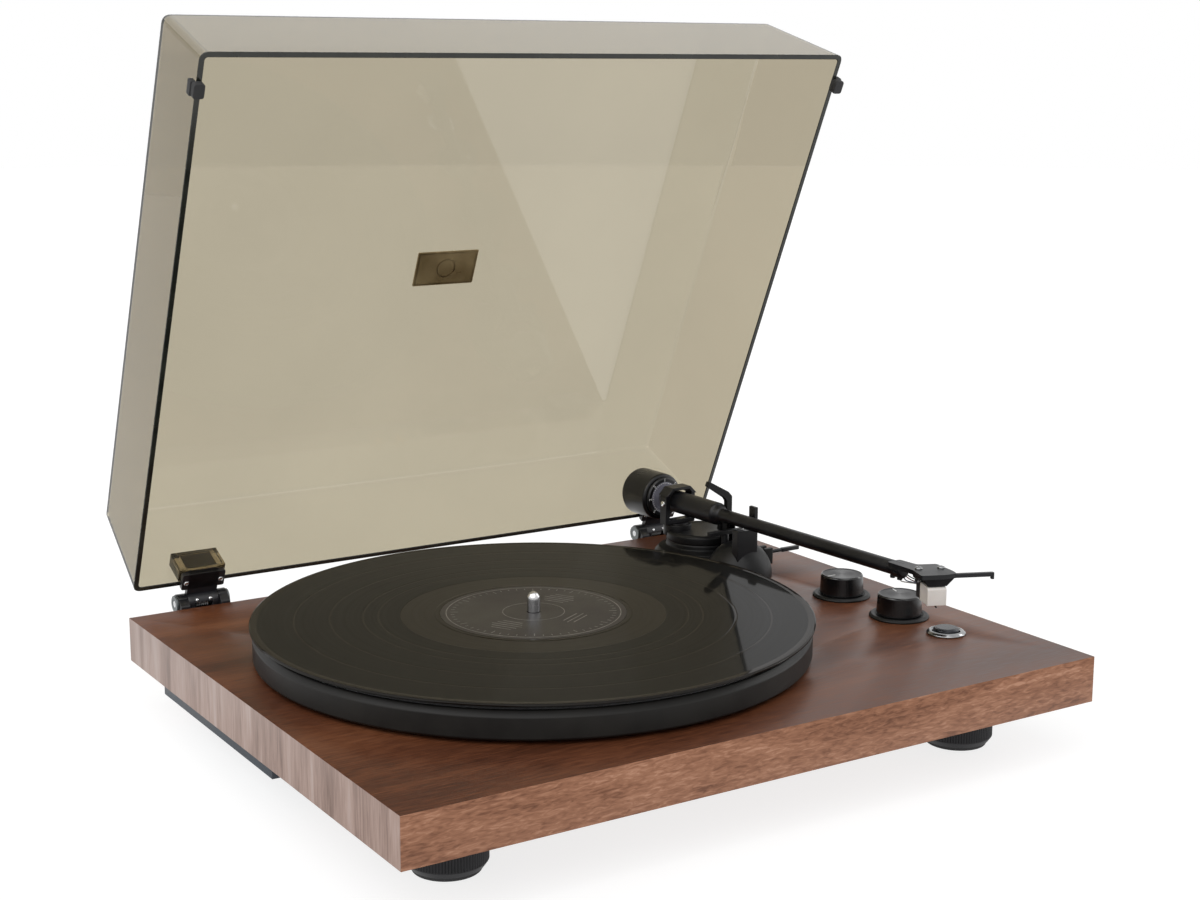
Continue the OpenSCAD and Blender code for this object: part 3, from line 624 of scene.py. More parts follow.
def make_rear():
    for node, name in (("level_switch", "moulded"), ("supply_inlet", "moulded"), ("circuit_board", "board"),
                       ("rotary_switches", "switch"), ("button_switch", "switch"),
                       ("motor_bracket", "bracket"), ("base_nut", "steel")):
        refined(node, name, 0.25)
    for i, (low, high) in enumerate(solids_of("phono_sockets")):
        place = shift((low.x + high.x) / 2, middle("plinth").y + PLINTH_BACK, (low.z + high.z) / 2)
        spun("phono_%d" % i, "phono_sockets", "gold",
             [(1.6, 0.5), (1.6, 9.5), (4.15, 9.5), (4.15, 1), (5.5, 1), (5.5, 0), (3.6, 0), (3.6, -10),
              (0.8, -10), (0.8, 0.5)], place @ ALONG_Y, edge=0.25, segments=48)
    ground = middle("ground_terminal")
    nurl = 36

    def nurled(angle, reach, z):
        return -0.25 if math.cos(nurl * angle) > 0.2 and reach > 4.2 and 0.7 < z < 5.8 else 0

    spun("ground_screw", "ground_terminal", "chrome",
         [(0, -9), (2, -9), (2, 0), (4.3, 0), (4.3, 0.8), (4.3, 5.7), (4.3, 6.5), (2, 6.5), (2, 8.6),
          (0, 8.6)],
         shift(ground.x, middle("plinth").y + PLINTH_BACK, middle("phono_sockets").z) @ ALONG_Y, edge=0.3,
         segments=nurl * 4, wave=nurled)


PLINTH_BACK = (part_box("plinth")[1].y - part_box("plinth")[0].y) / 2


# ---- Controls ----

def make_controls():
    for node, pointing in (("speed_knob", 180), ("mode_knob", 70)):
        make_knob(node, pointing)
    place = above("button_cap", DECK)
    ring, cap = box_in(place, "button_ring")[1].x, box_in(place, "button_cap")[1]
    spun("button_trim", "button_ring", "dark_chrome",
         [(7.5, -4), (8, -4), (8, 0), (ring, 0), (ring, 0.9), (ring - 1.2, 1.9), (8.6, 2.2), (7.5, 1.4)],
         place, 0.3)
    spun("button_face", "button_cap", "button",
         [(0, -7.5), (3, -7.5), (3, -4), (cap.x, -4), (cap.x, cap.z - 1), (cap.x - 0.8, cap.z - 0.15),
          (cap.x - 1.4, cap.z - 0.25), (cap.x - 1.6, cap.z), (0, cap.z)], place, 0.25)


def make_knob(node, pointing):
    place = above(node, DECK)
    r, top = radius_and_top(place, node)
    flutes, low, high = 90, 2.6, top - 1.1

    spun("cap_" + node, node, ["knob", "knob_top"],
         [(0, -13), (3, -13), (3, 1.8), (r, 1.8), (r, low - 0.2), (r, low + 0.2), (r - 0.5, high - 0.2),
          (r - 0.5, high + 0.2), (r - 1.1, top), (r - 1.6, top), (r - 1.9, top - 0.3), (0, top - 0.3)], place,
          0.25,
         segments=flutes * 4, wave=grooved(flutes, 0.07, r - 1, low, high),
         rule=lambda m: int(m.z > top - 0.6 and math.hypot(m.x, m.y) < r - 1.4))
    pointer = block(bmesh.new(), (5.2, -0.45, top - 0.5), (r - 2.1, 0.45, top - 0.16), turned(pointing, "Z"))
    piece("pointer_" + node, pointer, node, "white", place, bevel=0.08)
    rim_r, rim_top = 17, box_in(place, "knob_bezels")[1].z
    spun("dish_" + node, "knob_bezels", "dish",
         [(3.6, 0), (rim_r, 0), (rim_r, 0.9), (rim_r - 1.2, rim_top), (r + 0.9, rim_top - 0.2),
          (r + 0.5, 1.2), (3.6, 1.2)], place, 0.35, segments=128)


# ---- Drive ----

def make_drive():
    end, can_r = box_in(AT_MOTOR, "motor")[0].z, box_in(AT_MOTOR, "motor")[1].x
    spun("motor_can", "motor", "motor",
         [(0, end), (can_r - 1.5, end), (can_r, end + 1.5), (can_r, -7.5), (5, -7.5), (5, -4.5),
          (1.3, -4.5), (1.3, -14), (0, -14)], AT_MOTOR, 0.5)
    rim = box_in(AT_MOTOR, "motor_pulley")[1]
    spun("pulley", "motor_pulley", "brass",
         [(0, -13), (1, -13), (1, 2.6), (rim.x, 2.6), (rim.x, 3.2), (rim.x - 1.4, 3.8), (rim.x - 1.25, 6),
          (rim.x - 1.4, 8.3), (rim.x, 8.7), (rim.x, rim.z), (1.8, rim.z), (1.5, rim.z - 0.5),
          (0, rim.z - 0.5)],
         AT_MOTOR, 0.2, segments=64)
    refined("drive_belt", "rubber", 0.15)
    spun("bearing", "bearing_housing", "turned",
         [(0, -24), (8.4, -24), (9, -23.4), (9, 0), (15, 0), (15, 1.4), (3.35, 1.4), (3.35, -21.9),
          (0, -21.9)],
         AT_SPINDLE, 0.2, segments=64)
    ball = middle("thrust_ball")
    reach = box_in(shift(*ball), "thrust_ball")[1].x
    spun("ball", "thrust_ball", "chrome", arc(0, 0, reach, -90, 90, 16), shift(*ball), 0.01, 32)


# ---- Platter and record ----

def make_platter():
    r, top = radius_and_top(AT_SPINDLE, "platter")
    mat, mat_top = radius_and_top(AT_SPINDLE, "slipmat")
    spun("platter_body", "platter", "platter",
         [(3.3, 3.2), (100, 3.2), (100, 9.6), (126, 9.6), (126, 2), (r - 1, 2), (r, 3), (r, top - 3),
          (r - 2.4, top), (3.3, top)], AT_SPINDLE, 0.5, segments=256)
    spun("mat", "slipmat", "felt", rectangle(3.7, top + 0.02, mat, mat_top),
         AT_SPINDLE, 0.5, segments=192)
    end, tip = box_in(AT_SPINDLE, "spindle")
    spun("spindle_pin", "spindle", "turned",
         [(0, end.z), (3.2, end.z), (3.2, mat_top), (3.5, mat_top + 2), (3.5, tip.z - 4.2),
          (3.3, tip.z - 2.6), (2.2, tip.z - 0.9), (0.9, tip.z - 0.1), (0, tip.z)], AT_SPINDLE, 0.5,
          segments=48)
    make_record(mat_top + 0.1)


def make_record(low):
    r, top = radius_and_top(AT_SPINDLE, "record")
    face = top - 0.15
    bands = [127.5, 108.5, 91.0, 83.0]
    line = [(3.7, low), (r - 0.7, low), (r, low + 0.4), (r, top - 0.5), (r - 0.8, top), (r - 2.6, top - 0.02),
            (r - 4, face)]
    for band in bands:
        line += [(band + 0.75, face), (band + 0.45, face - 0.035), (band - 0.45, face - 0.035),
                 (band - 0.75, face)]
    line += [(71.5, face), (71.2, face - 0.06), (59, face - 0.06), (53.4, face - 0.02), (52.6, top),
             (51.4, top), (50.4, top - 0.06), (3.7, top - 0.06)]

    # Plain faces take the smooth vinyl, whose brown tint is a painted reflection of the lid.
    def glossy(m):
        far = math.hypot(m.x, m.y)
        plain = 50 < far < 71.3 or far > r - 4.2 or any(abs(far - b) < 0.4 for b in bands)
        return int(m.z > low + 0.5 and plain)

    spun("record_disc", "record", ["vinyl", "vinyl_smooth_painted_reflection"], line, AT_SPINDLE, 0.12, segments=288,
         smooth=25, rule=glossy)
    make_label(top)


def make_label(top):
    r = box_in(AT_SPINDLE, "record_label")[1].x
    spun("label_disc", "record_label", "label", rectangle(3.7, top - 0.05, r, top + 0.05),
         AT_SPINDLE, 0.04, segments=160)
    bm = bmesh.new()
    low, high = top + 0.05, top + 0.11
    outer_line, inner_line = (46.6, 47.2), (16.4, 16.8)
    for inner, outer in (outer_line, inner_line):
        lathe(bm, rectangle(inner, low, outer, high), segments=160)
    marks = 60
    for i in range(marks):
        block(bm, (42.6 if i % 5 else 40.6, -0.22, low), (44.6, 0.22, high), turned(360 * i / marks, "Z"))
    for side, count in ((0, 5), (180, 5), (270, 3)):
        for k in range(count):
            width = 9 - 1.6 * abs(k - count // 2)
            block(bm, (22 + 3.1 * k, -width, low), (22.6 + 3.1 * k, width, high), turned(side + 30, "Z"))
    piece("label_print", bm, "record_label", "silver", AT_SPINDLE, smooth=60)


# ---- Tonearm base and cueing ----

AT_BASE = above("base_nut", DECK)
PIVOT = into(AT_BASE, JOINTS["tonearm_swing"]["pos_m"])
LEVER = into(AT_BASE, JOINTS["cue_lever_turn"]["pos_m"])
CLIP = into(AT_BASE, JOINTS["arm_clip_turn"]["pos_m"])
SKATE = into(AT_BASE, JOINTS["antiskate_turn"]["pos_m"])
LIFT = into(AT_BASE, middle("lift_platform"))
DOME = Vector((LEVER.x - 20, LEVER.y, 0))
REST_Y = -57
ARM_SLOPE = (LIFT.x - PIVOT.x) / (PIVOT.y - LIFT.y)
REST_X = PIVOT.x + (PIVOT.y - REST_Y) * ARM_SLOPE
TUBE_R = 4.1


def make_arm_base():
    bm = bmesh.new()
    foot = [(0, 0), (30, 0), (30, 5), (27.4, 8), (23.2, 9.4), (22.6, 9.9), (22.6, 12.2), (22.2, 12.6),
            (22.2, 13.2), (22.6, 13.6), (22.6, 17.5), (21, 19), (18.6, 19), (18.1, 18.6), (0, 18.6)]
    lathe(bm, soft(foot, 0.5, 3, closed=False), segments=128)
    lathe(bm, [(0, 0), (19.6, 0), (20, 0.4)] + arc(0, 2, 20, 0, 84, 14) + [(0, 22)], shift(DOME.x, DOME.y),
          96)
    prism(bm, oblong(DOME.x - 14, DOME.y, DOME.x + 14, 0, 2), 0, 7.5)
    lathe(bm, soft([(0, 15), (9, 15), (9, 22.1), (3.2, 22.1), (3.2, 21), (0, 21)], 0.5, 3, closed=False),
          shift(PIVOT.x, PIVOT.y), 64)
    block(bm, (LEVER.x - 8, LEVER.y - 4.6, 5), (LEVER.x - 2.8, LEVER.y + 4.6, 15), round_by=1.2)
    for side in (-1, 1):
        y = LEVER.y + side * 3.2
        block(bm, (LEVER.x - 6, y - 1.4, 5), (LEVER.x + 2.6, y + 1.4, 15), round_by=0.8)
        y = CLIP.y + side * 3.35
        block(bm, (CLIP.x - 2.4, y - 1.25, 5), (CLIP.x + 2.4, y + 1.25, CLIP.z + 2.6), round_by=0.6)
    block(bm, (CLIP.x - 2.4, CLIP.y - 4.6, 5), (CLIP.x + 2.4, CLIP.y + 4.6, CLIP.z - 4.4), round_by=0.6)
    piece("base_body", bm, "arm_base", "arm_plastic", AT_BASE, bevel=0.3)
    make_rest()


def make_rest():
    """The fork that holds the resting arm, its right prong standing higher."""
    saddle = PIVOT.z - TUBE_R - 0.7
    left = [(-7.5, 4), (-7.5, saddle + 0.2), (-5.6, saddle + 0.2)]
    cup = arc(0, PIVOT.z, TUBE_R + 0.9, 232, 308, 8)
    right = [(5, saddle + 1), (5, PIVOT.z + 9), (7.5, PIVOT.z + 9), (7.5, 4)]
    bm = prism(bmesh.new(), soft(left + [(x, min(z, saddle)) for x, z in cup] + right, 0.6), -3, 3,
          shift(REST_X, REST_Y) @ ON_EDGE)
    piece("rest_fork", bm, "arm_base", "arm", AT_BASE, bevel=0.3)


def make_cueing():
    bm = disc(bmesh.new(), 2.2, -9, 8, shift(LIFT.x, LIFT.y, 17))
    bar = box_in(AT_BASE, "lift_platform")
    prism(bm, oblong(bar[0].x, LIFT.y - 2, bar[1].x, LIFT.y + 2, 1.8), bar[1].z - 2.4, bar[1].z)
    piece("lift_bar", bm, "lift_platform", "arm_plastic", AT_BASE, bevel=0.4)
    bm = bmesh.new()
    at_lever = shift(*LEVER)
    lathe(bm, soft(rectangle(1.05, -1.4, 2.2, 1.4), 0.25), at_lever @ ALONG_Y, 40)
    disc(bm, 1.1, 1.9, 13, at_lever @ ALONG_X, segments=24)
    prism(bm, oblong(12, -1.4, 26, 1.4, 1.2), -1.2, 1.2, at_lever)
    piece("lever_handle", bm, "cue_lever", "arm", AT_BASE, bevel=0.35)
    bm = bmesh.new()
    hook = soft([(-1.9, 0), (1.9, 0), (1.9, 12.5), (-0.9, 15.5), (-15.4, 23.4), (-16.8, 20.4), (-3.4, 11.6),
                 (-1.9, 9.4)], 0.7)
    prism(bm, hook, -1.8, 1.8, shift(*CLIP) @ ON_EDGE)
    disc(bm, 2, -1.8, 1.8, shift(*CLIP) @ ALONG_Y)
    piece("clip_hook", bm, "arm_clip", "arm_plastic", AT_BASE, bevel=0.3)
    top = box_in(AT_BASE, "antiskate_knob")[1].z - SKATE.z
    nurl = 32
    spun("skate_dial", "antiskate_knob", "arm_plastic",
         [(0, -9), (2, -9), (2, -2.7), (6, -2.7), (5.8, -1.8), (5.6, 2.6), (5, top), (3.6, top),
          (3.2, top - 0.5), (0, top - 0.5)], AT_BASE @ shift(*(SKATE * MM)), 0.2,
         segments=nurl * 5, wave=grooved(nurl, 0.25, 5.2, -2))


# ---- Tonearm ----

def along_arm(name, node, finishes, profile, edge=0.3, **extra):
    """A body of revolution about the arm's own axis. Heights run towards its back."""
    return spun(name, node, finishes, profile, AT_ARM @ ALONG_Y, edge, **extra)


def make_yoke():
    low, high = box_in(AT_ARM, "gimbal_yoke")
    bm = bmesh.new()
    cut, half, inset = 5.0, high.x, 0.4
    wide, tall = half - inset, high.z - inset
    outer = [(wide, -13.5), (wide, tall - cut), (wide - cut, tall)]
    inner = [(8.3, -10.8), (8.3, 6.4), (6.3, 8.4)]
    hollow(bm, both_sides(outer), both_sides(inner), -3.2, 3.2, ON_EDGE)
    arch = both_sides([(half, high.z - cut), (half - cut, high.z)])
    prism(bm, arch + [(-8.3, 5.4), (-5.9, 8.2), (5.9, 8.2), (8.3, 5.4)], -4.6, 4.6, ON_EDGE)
    disc(bm, 3, low.z, -12, segments=48)
    lathe(bm, soft([(0, -15.4), (6.4, -15.4), (6.4, -13.5), (0, -13.5)], 0.4, 3, closed=False), segments=64)
    piece("yoke_frame", bm, "gimbal_yoke", "arm", AT_ARM, bevel=0.4)
    bm = bmesh.new()
    for side in (-1, 1):
        place = turned(90 * side, "Y")
        disc(bm, 1, 5.6, 8, place, 0.2, 24)
        disc(bm, 1.8, 7.6, high.x - 0.2, place, 0.2, 32)
        screw_head(bm, 1.8, 0.6, shift(side * (high.x - 0.2)) @ place)
    piece("pivot_points", bm, "pivot_screws", "chrome", AT_ARM)


def make_tube():
    end = box_in(AT_ARM, "arm_tube")[0].y
    along_arm("tube", "arm_tube", "arm",
              [(0, 8), (6.2, 8), (7, 7.2), (7, 2.4), (6.8, 2.2), (6.8, 1.8), (7, 1.6), (7, -40.6), (6, -42),
               (4.9, -44.6), (TUBE_R, -45.6), (TUBE_R, end), (TUBE_R - 0.8, end), (TUBE_R - 0.8, -42),
               (0, -42)], 0.4, segments=64)
    stub = box_in(AT_ARM, "rear_stub")
    along_arm("stub", "rear_stub", "steel", [(0, 8), (4, 8), (4, stub[1].y - 0.8), (3.2, stub[1].y),
                                                     (0, stub[1].y)], 0.3, segments=48)


def make_weight():
    core = box_in(AT_ARM, "weight_core")
    along_arm("core", "weight_core", ["arm_plastic", "dial"],
              rectangle(4.06, core[0].y, 7, core[1].y), 0.4, segments=64,
              rule=lambda m: int(m.z < core[0].y + 0.5))
    low, high = box_in(AT_ARM, "counterweight")
    front, back, r, face = low.y, high.y, high.x, low.y + 2.4
    along_arm("weight_body", "counterweight", ["weight", "dial"],
              [(7.06, front), (8.6, front), (8.6, face), (13.2, face), (r - 0.5, face + 0.5), (r, face + 1.6),
               (r, back - 2), (r - 0.8, back - 0.6), (r - 2, back), (12, back), (11.4, back - 0.9),
               (9.4, back - 0.9), (8.8, back), (7.06, back)], 0.4, segments=128,
               rule=lambda m: int(m.z < front + 0.5))
    make_dial(front - 0.2)


def make_dial(front):
    r, back = box_in(AT_ARM, "force_dial")[1].xy
    scale_r = 9.9
    along_arm("dial_ring", "force_dial", ["dial", "weight"],
              [(8.66, front), (scale_r, front), (scale_r + 0.2, front + 0.2), (r - 0.9, front + 0.2),
               (r, front + 1), (r, back), (8.66, back)], 0.15, segments=160,
              rule=lambda m: int(math.hypot(m.x, m.y) > scale_r + 0.15))
    bm = bmesh.new()
    places = 8
    for i in range(places * 5):
        reach = scale_r - (0.8 if i % 5 else 1.2)
        turn = shift(y=front) @ ON_EDGE @ turned(9 * i, "Z")
        block(bm, (reach, -0.13, -0.08), (scale_r - 0.1, 0.13, 0.1), turn)
    for i in range(places):
        digit(bm, str(i // 2) if i % 2 == 0 else "5", 3.0,
              shift(y=front + 0.16) @ ON_EDGE @ turned(360 / places * i - 90, "Z") @ shift(y=scale_r + 0.5))
    piece("dial_marks", bm, "force_dial", "white", AT_ARM, smooth=30)


def digit(bm, character, size, place):
    """A raised digit on the XY plane, centred on X, added to a mesh."""
    words = bpy.data.curves.new("digit", "FONT")
    words.body, words.size, words.align_x = character, size, "CENTER"
    words.extrude, words.resolution_u = 0.06, 3
    maker = bpy.data.objects.new("digit", words)
    mesh = maker.to_mesh()
    mesh.transform(place)
    bm.from_mesh(mesh)
    maker.to_mesh_clear()
    bpy.data.objects.remove(maker)
    bpy.data.curves.remove(words)


# ---- Headshell and cartridge ----

def make_headshell():
    plate_top, plate_t, tube_end = HEAD[1].z - 1.3, 2.6, box_in(AT_ARM, "arm_tube")[0].y
    outline = soft([(-9.6, -14.2), (4.5, -14.2), (11, -12), (11, -7), (7, 9), (-4, 9.4), (-10.2, 21),
                    (-18.7, 17.5), (-14.5, 8), (-10.2, -2)], 1.6, 4)
    bm = prism(bmesh.new(), outline, plate_top - plate_t, plate_top)
    bar = [(9, -12.2), (9, -9.4), (12, -10), (31.6, -10), (32.2, -10.5), (32.2, -12), (31.6, -12.4),
           (12, -12.4)]
    prism(bm, soft(bar, 0.5), plate_top - 2.5, plate_top - 0.3)
    block(bm, (30.6, -12.4, plate_top - 4), (32.2, -10, plate_top - 0.4), round_by=0.4)
    loft(bm, [level(oblong(-8.6, -13.4, 9.4, -10.6, 0.8), plate_top - plate_t + 0.2),
              level(oblong(-5.2, -12.6, 5.6, -10.4, 0.6), -2.7)])
    piece("shell_plate", bm, "headshell", "arm", AT_HEAD, bevel=0.35)
    neck = bmesh.new()
    lathe(neck, soft([(0, tube_end + 0.2), (TUBE_R, tube_end + 0.2), (TUBE_R, tube_end - 5.4),
                      (3.6, tube_end - 6), (0, tube_end - 6)], 0.3, 3, closed=False), ALONG_Y, 64)
    disc(neck, TUBE_R - 0.85, tube_end - 2, tube_end + 11, ALONG_Y)
    prism(neck, arc(0, 0, TUBE_R + 0.7, 195, 345, 14) + arc(0, 0, TUBE_R, 345, 195, 14), 0.3 - tube_end,
          5 - tube_end, ON_EDGE)
    for back in (-2.5, 3):
        disc(neck, 1.5, TUBE_R, TUBE_R + 1.9, shift(y=tube_end + back) @ turned(180, "X"), 0.4, 24)
    piece("shell_neck", neck, "headshell", "arm", AT_ARM)
    bm = bmesh.new()
    spacing = 12.7
    for side in (-1, 1):
        place = shift(side * spacing / 2)
        disc(bm, 1.25, -3.1, plate_top, place, 0.15, 24)
        screw_head(bm, 2.1, 1.3, place @ shift(z=plate_top))
        prism(bm, arc(0, 0, 2.1, 0, 300, 5), -3, -1.45, place)
    piece("shell_screws", bm, "cartridge_screws", "dark_chrome", AT_HEAD, bevel=0.1)


def make_cartridge():
    bm = block(bmesh.new(), (-8.3, -4.5, -1.4), (8.3, 4.5, 1.4), round_by=1)
    base = oblong(-4.4, -10, 4.4, 7, 0.6)
    loft(bm, [level(base, -3.25), level([p * 0.94 for p in base], -1.3)])
    block(bm, (-5.2, 0.2, -13), (5.2, 7, -3), round_by=0.7)
    for x in (-3, -1, 1, 3):
        disc(bm, 0.45, 0, 3.2, shift(x, 6.9, -9.4 + abs(x) % 2) @ ALONG_Y, 0.1, 12)
    piece("cartridge_body", bm, "cartridge", "cartridge", AT_HEAD, bevel=0.25)
    bm = bmesh.new()
    side = [(-13, -13.5), (-13, -4.6), (-11.9, -3.3), (0, -3.3), (0, -13.5), (-1.6, -13.5)]
    prism(bm, side, -5.35, 5.35, TO_X)
    piece("stylus_guard", bm, "stylus_holder", "ivory", AT_HEAD, bevel=0.35)
    bm = sweep(bmesh.new(), [(0, -9.2, -13.85), (0, -11.9, -14.45), (0, -12.3, -14.55)], [0.55, 0.5, 0.3])
    lathe(bm, [(0, -14.95), (0.06, -14.9), (0.2, -14.6), (0.24, -14.2), (0, -14.15)], shift(0, -12, 0), 20)
    piece("cantilever", bm, "stylus", "cantilever", AT_HEAD)


def make_leads():
    """Four fine wires from the tube's end to the pins behind the cartridge."""
    tube_end = into(AT_HEAD, AT_ARM @ Vector((0, (box_in(AT_ARM, "arm_tube")[0].y - 4) * MM, 0)))
    for x, name in ((-3, "white"), (-1, "blue"), (1, "red"), (3, "green")):
        start = tube_end + Vector((x * 0.5, 0.5, -1.8))
        pin = Vector((x, 10.2, -9.4 + abs(x) % 2))
        middle_point = (start + pin) / 2 + Vector((x * 0.9, 2.6, -1.8))
        bm = sweep(bmesh.new(), flowing([start, start.lerp(middle_point, 0.5) + Vector((0, 0.4, -0.6)),
                                         middle_point, pin + Vector((x * 0.2, 2.4, 0.6)), pin], 5), 0.32,
                                         sides=8)
        disc(bm, 0.62, -2.6, 0.6, shift(*pin) @ ALONG_Y, 0.15, 12)
        piece("lead_" + name, bm, "cartridge", "lead_" + name, AT_HEAD, stands_for=False)


# ---- Lid ----

def lid_loop(low, high, z, wall, corner=5.0):
    """The lid's outline at a height, drawn in by its taper and its wall."""
    f = (z - low.z) / (high.z - low.z)
    side_taper, front_taper, back_taper = 5, 9, 4
    x = high.x - side_taper * f - wall
    front, back = low.y + front_taper * f + wall, high.y - back_taper * f - wall
    return level(oblong(-x, front, x, back, max(corner - wall, 1), 6), z)


def make_lid():
    low, high = box_in(AT_LID, "lid")
    wall, crown = 3.0, 4.0
    outer = [lid_loop(low, high, z, inset) for z, inset in
             [(high.z - crown + crown * math.sin(math.radians(a)), crown * (1 - math.cos(math.radians(a))))
              for a in (90, 70, 50, 30, 12, 0)]]
    rim = [lid_loop(low, high, low.z + rise, inset)
           for rise, inset in ((0.35, 0), (0, 0.35), (0, wall - 0.35), (0.35, wall))]
    floor_z, round_in = high.z - wall, 1.6
    inner = [lid_loop(low, high, floor_z - round_in + round_in * math.sin(math.radians(a)),
                      wall + round_in * (1 - math.cos(math.radians(a)))) for a in (0, 30, 60, 90)]
    bm = loft(bmesh.new(), outer + rim + inner)
    bm.normal_update()
    for face in bm.faces:
        at_rim = face.calc_center_median().z < low.z + 0.4
        face.material_index = 1 if at_rim else 2 if abs(face.normal.x) > 0.9 else 0
    piece("lid_shell", settled(bm, AT_LID), "lid", ["smoked", "smoked_edge", "smoked_wall"],
          smooth=30)
    make_pockets(low, high)
    make_lid_parts(low, high)


def make_pockets(low, high):
    """Thicker blocks inside the lid's back that take the blades of the hinges."""
    blade = box_in(AT_LID, "hinge_arms")
    front, back, top = high.y - 12, high.y - 3.05, blade[1].z + 2
    for side, name in SIDES:
        x = side * HINGE_X
        outer = oblong(x - 14, front, x + 14, back, 0.8)
        inner = oblong(x - 9.35, blade[0].y - 0.15, x + 9.35, blade[0].y + 4.15, 0.3)
        bm = loft(bmesh.new(), [level(outer, top), level(outer, low.z + 0.05), level(inner, low.z + 0.05),
                                level(inner, top - 1.85)])
        piece("pocket_" + name, bm, "lid", "smoked_thick", AT_LID, bevel=0.3)


def make_lid_parts(low, high):
    for side, name in SIDES:
        place = AT_LID @ shift(side * (high.x - 0.2) * MM, (low.y + 19) * MM, low.z * MM)
        bm = block(bmesh.new(), (-3, -4, -4.8), (3, 4, -0.4), round_by=1.6)
        block(bm, (side * 0.4 - 0.3, -4, -1), (side * 3.2 + side * 0.4, 4, 3.2), round_by=0.6)
        piece("bumper_" + name, bm, "lid_bumpers", "rubber", place, bevel=0.6)
    badge = box_in(AT_LID, "lid_badge")
    centre = (badge[0] + badge[1]) / 2
    half = (badge[1] - badge[0]) / 2
    place = AT_LID @ shift(centre.x * MM, centre.y * MM, badge[0].z * MM)
    bm = block(bmesh.new(), (-half.x, -half.y, 0.02), (half.x, half.y, 0.78), round_by=0.8)
    piece("badge_plate", bm, "lid_badge", "badge", place, bevel=0.15)
    bm = hollow(bmesh.new(), oblong(-half.x + 0.8, -half.y + 0.8, half.x - 0.8, half.y - 0.8, 0.8),
                oblong(-half.x + 1.5, -half.y + 1.5, half.x - 1.5, half.y - 1.5, 0.5), -0.06, 0.04)
    lathe(bm, rectangle(5.6, -0.06, 6.3, 0.04), segments=64)
    piece("badge_frame", bm, "lid_badge", "badge_line", place, smooth=50)


# ---- Hinges ----

def make_hinges():
    for side, name in SIDES:
        make_hinge(name, AT_HINGE @ shift(side * HINGE_X * MM), AT_LID @ shift(side * HINGE_X * MM))


def make_hinge(name, still, moving):
    low = box_in(AT_HINGE, "hinge_bases")[0]
    back, barrel, width, cheek_x, cheek_t = low.y, 5.5, 15, 12.2, 2.8
    bm = block(bmesh.new(), (-width, back, low.z), (width, back + 2, -5), round_by=0.6)
    for end in (-1, 1):
        middle_x = end * cheek_x
        lathe(bm, soft(rectangle(2.1, -cheek_t, barrel, cheek_t), 0.4), shift(middle_x) @ ALONG_X, 48)
        cheek = [(0, -barrel), (back + 1, -9), (back, -9), (back, 0), (-4.2, 3.6), (0, 0)]
        prism(bm, soft(cheek, 0.6), middle_x - cheek_t, middle_x + cheek_t, TO_X)
    piece("hinge_base_" + name, bm, "hinge_bases", "hinge", still, bevel=0.3)
    make_hinge_arm(name, moving)
    bm = disc(bmesh.new(), 2, -width, width, ALONG_X)
    for end in (-1, 1):
        lathe(bm, soft([(0, 0), (4.9, 0), (4.9, 1.2), (3.2, 1.2), (3, 0.9), (0, 0.9)], 0.25, 3, closed=False),
              shift(end * width) @ turned(90 * end, "Y"), 48)
    piece("hinge_pin_" + name, bm, "hinge_pins", "hinge_cap", still)
    bm = bmesh.new()
    for end in (-1, 1):
        screw_head(bm, 1.9, 0.25, shift(end * (width + 0.9)) @ turned(90 * end, "Y"))
    piece("hinge_cap_screws_" + name, bm, "hinge_pins", "chrome", still, stands_for=False)
    turns, coil = 6.5, []
    for i in range(int(turns * 16) + 1):
        a = TURN * i / 16
        coil.append((-4.2 + 8.4 * i / (turns * 16), 3.1 * math.cos(a), 3.1 * math.sin(a)))
    piece("hinge_spring_" + name, sweep(bmesh.new(), coil, 0.55, sides=8), "hinge_springs", "wire", still)
    bm = bmesh.new()
    for x in (-8, 8):
        place = shift(x, back + 2, -15.4) @ ALONG_Y
        disc(bm, 1.5, -11, 0.2, place)
        screw_head(bm, 3, 1.4, place)
    piece("hinge_screws_" + name, bm, "hinge_screws", "chrome", still)


def make_hinge_arm(name, place):
    """The strap that turns with the lid, with its blade up the pocket."""
    low, high = box_in(AT_LID, "hinge_arms")
    half, wide, barrel = 9.2, 13.0, 5.5
    bm = block(bmesh.new(), (-half, low.y, 0.2), (half, low.y + 4, high.z), round_by=0.3)
    block(bm, (-half, low.y, 0.2), (half, -2, 3.5), round_by=0.3)
    block(bm, (-wide, low.y, 0.2), (wide, -9.2, 3.4), round_by=1.2)
    for end in (-1, 1):
        lathe(bm, soft(rectangle(2.1, -1.9, barrel, 1.9), 0.3), shift(end * 7.25) @ ALONG_X, 48)
    shell = arc(0, 0, barrel, -60, 240, 26) + arc(0, 0, 4.45, 240, -60, 26)
    prism(bm, shell, -5.6, 5.6, TO_X)
    piece("hinge_arm_" + name, bm, "hinge_arms", "hinge", place, bevel=0.25)
    bm = bmesh.new()
    for side in (-1, 1):
        screw_head(bm, 1.5, 0.9, shift(side * 10.4, low.y + 6, 0.25) @ turned(180, "X"))
        screw_head(bm, 0.9, 0.35, turned(134, "X") @ shift(side * 4, 0, barrel - 0.05))
    piece("strap_screws_" + name, bm, "hinge_arms", "chrome", place, stands_for=False)


# ---- Camera, floor and light ----

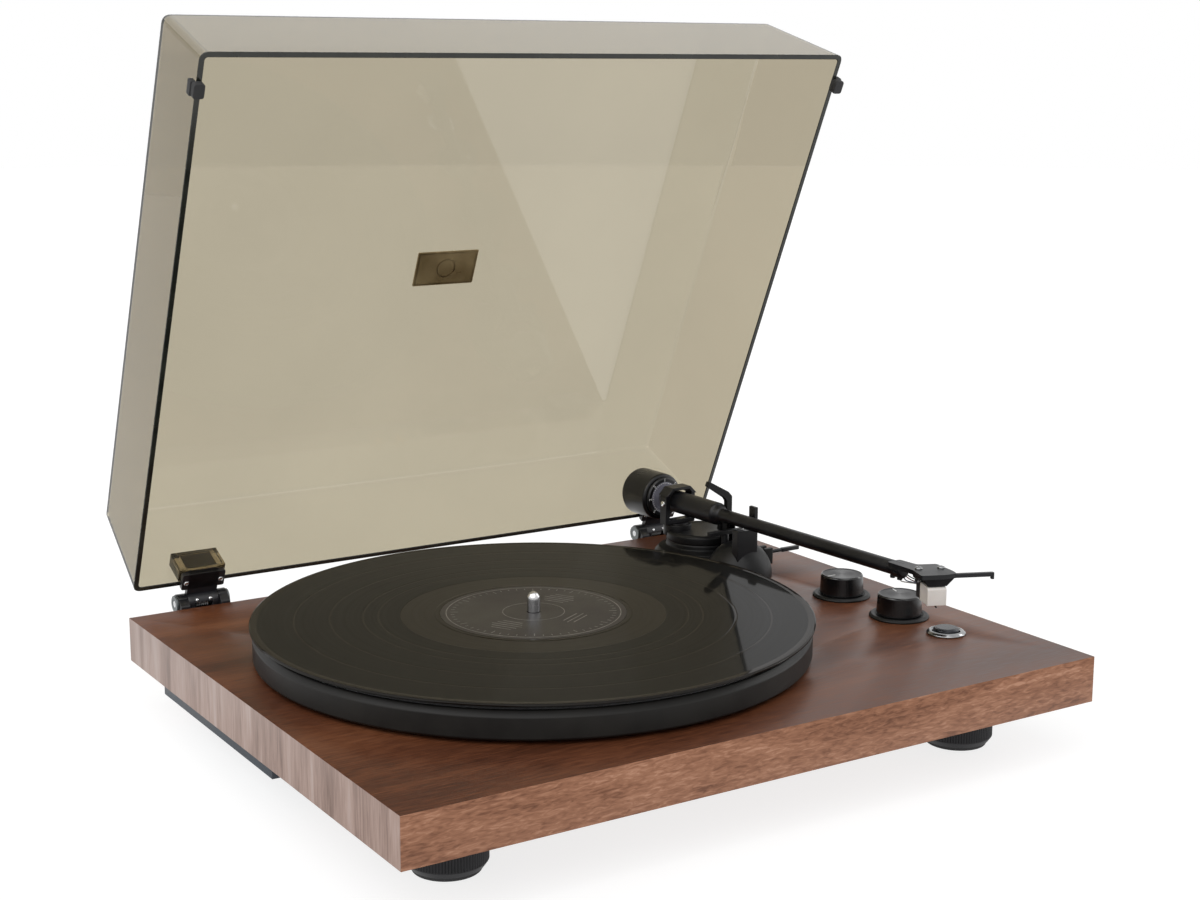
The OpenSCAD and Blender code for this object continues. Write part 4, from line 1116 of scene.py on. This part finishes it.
def make_camera():
    turn, tilt, roll = math.radians(-32.28), math.radians(10.64), math.radians(0.1)
    stand = shift(-0.540, -0.88185, 0.3631)
    back = Vector((math.sin(turn) * math.cos(tilt), -math.cos(turn) * math.cos(tilt), math.sin(tilt)))
    side = Vector((0, 0, 1)).cross(back).normalized()
    up = back.cross(side)
    lens = bpy.data.cameras.new("camera")
    lens.lens, lens.sensor_width, lens.shift_x, lens.shift_y = 56.94, 36, 0.0091, -0.0244
    lens.clip_end = 50
    camera = in_scene("camera", lens)
    aim = Matrix((side, up, back)).transposed().to_4x4()
    camera.matrix_world = stand @ aim @ Matrix.Rotation(roll, 4, "Z")
    bpy.context.scene.camera = camera


def make_floor():
    bm = lathe(bmesh.new(), [(0, -0.4), (6000, -0.4), (6000, -1.4), (0, -1.4)], segments=64)
    mesh = mesh_of("floor", bm)
    mesh.materials.append(finish("floor_paint", (134, 134, 134), (138, 138, 138), (0.7, 0.8), patch=2,
                                 bump=0.02, Emission_Color=(1, 1, 1, 1), Emission_Strength=0.8))
    in_scene("floor", mesh)


def soft_light(name, place, target, size, power):
    lamp = bpy.data.lights.new(name, "AREA")
    lamp.shape, lamp.size, lamp.size_y, lamp.energy = "RECTANGLE", size[0], size[1], power
    light = in_scene(name, lamp)
    light.location = place
    light.rotation_euler = (Vector(place) - Vector(target)).to_track_quat("Z", "Y").to_euler()


def make_world():
    world = bpy.data.worlds.new("studio")
    world.use_nodes = True
    bpy.context.scene.world = world
    tree = world.node_tree
    sky = tree.nodes["Background"]
    matt = add(tree, "LightPath", {}).outputs["Is Diffuse Ray"]
    feed(tree, sky, {"Color": rgb((255, 255, 255)), "Strength": add(
        tree, "MapRange", {"Value": matt, "To Min": 1.0, "To Max": 0.36}).outputs["Result"]})


def make_studio():
    make_camera()
    make_floor()
    make_world()
    heart = (0, 0, 0.08)
    soft_light("key", (-1.6, 0.2, 1.5), heart, (1.4, 1.4), 10)
    soft_light("strip", (1.3, -0.3, 0.5), heart, (0.15, 1.0), 3)
    sun = bpy.data.lights.new("daylight", "SUN")
    sun.energy, sun.angle = 1.5, math.radians(70)
    light = in_scene("daylight", sun)
    light.rotation_euler = (math.radians(28), math.radians(-30), 0)
    bpy.context.scene.view_settings.view_transform = "Standard"


for make in (make_base, make_rear, make_controls, make_drive, make_platter, make_arm_base, make_cueing,
             make_yoke, make_tube, make_weight, make_headshell, make_cartridge, make_leads, make_lid,
             make_hinges, make_studio):
    make()
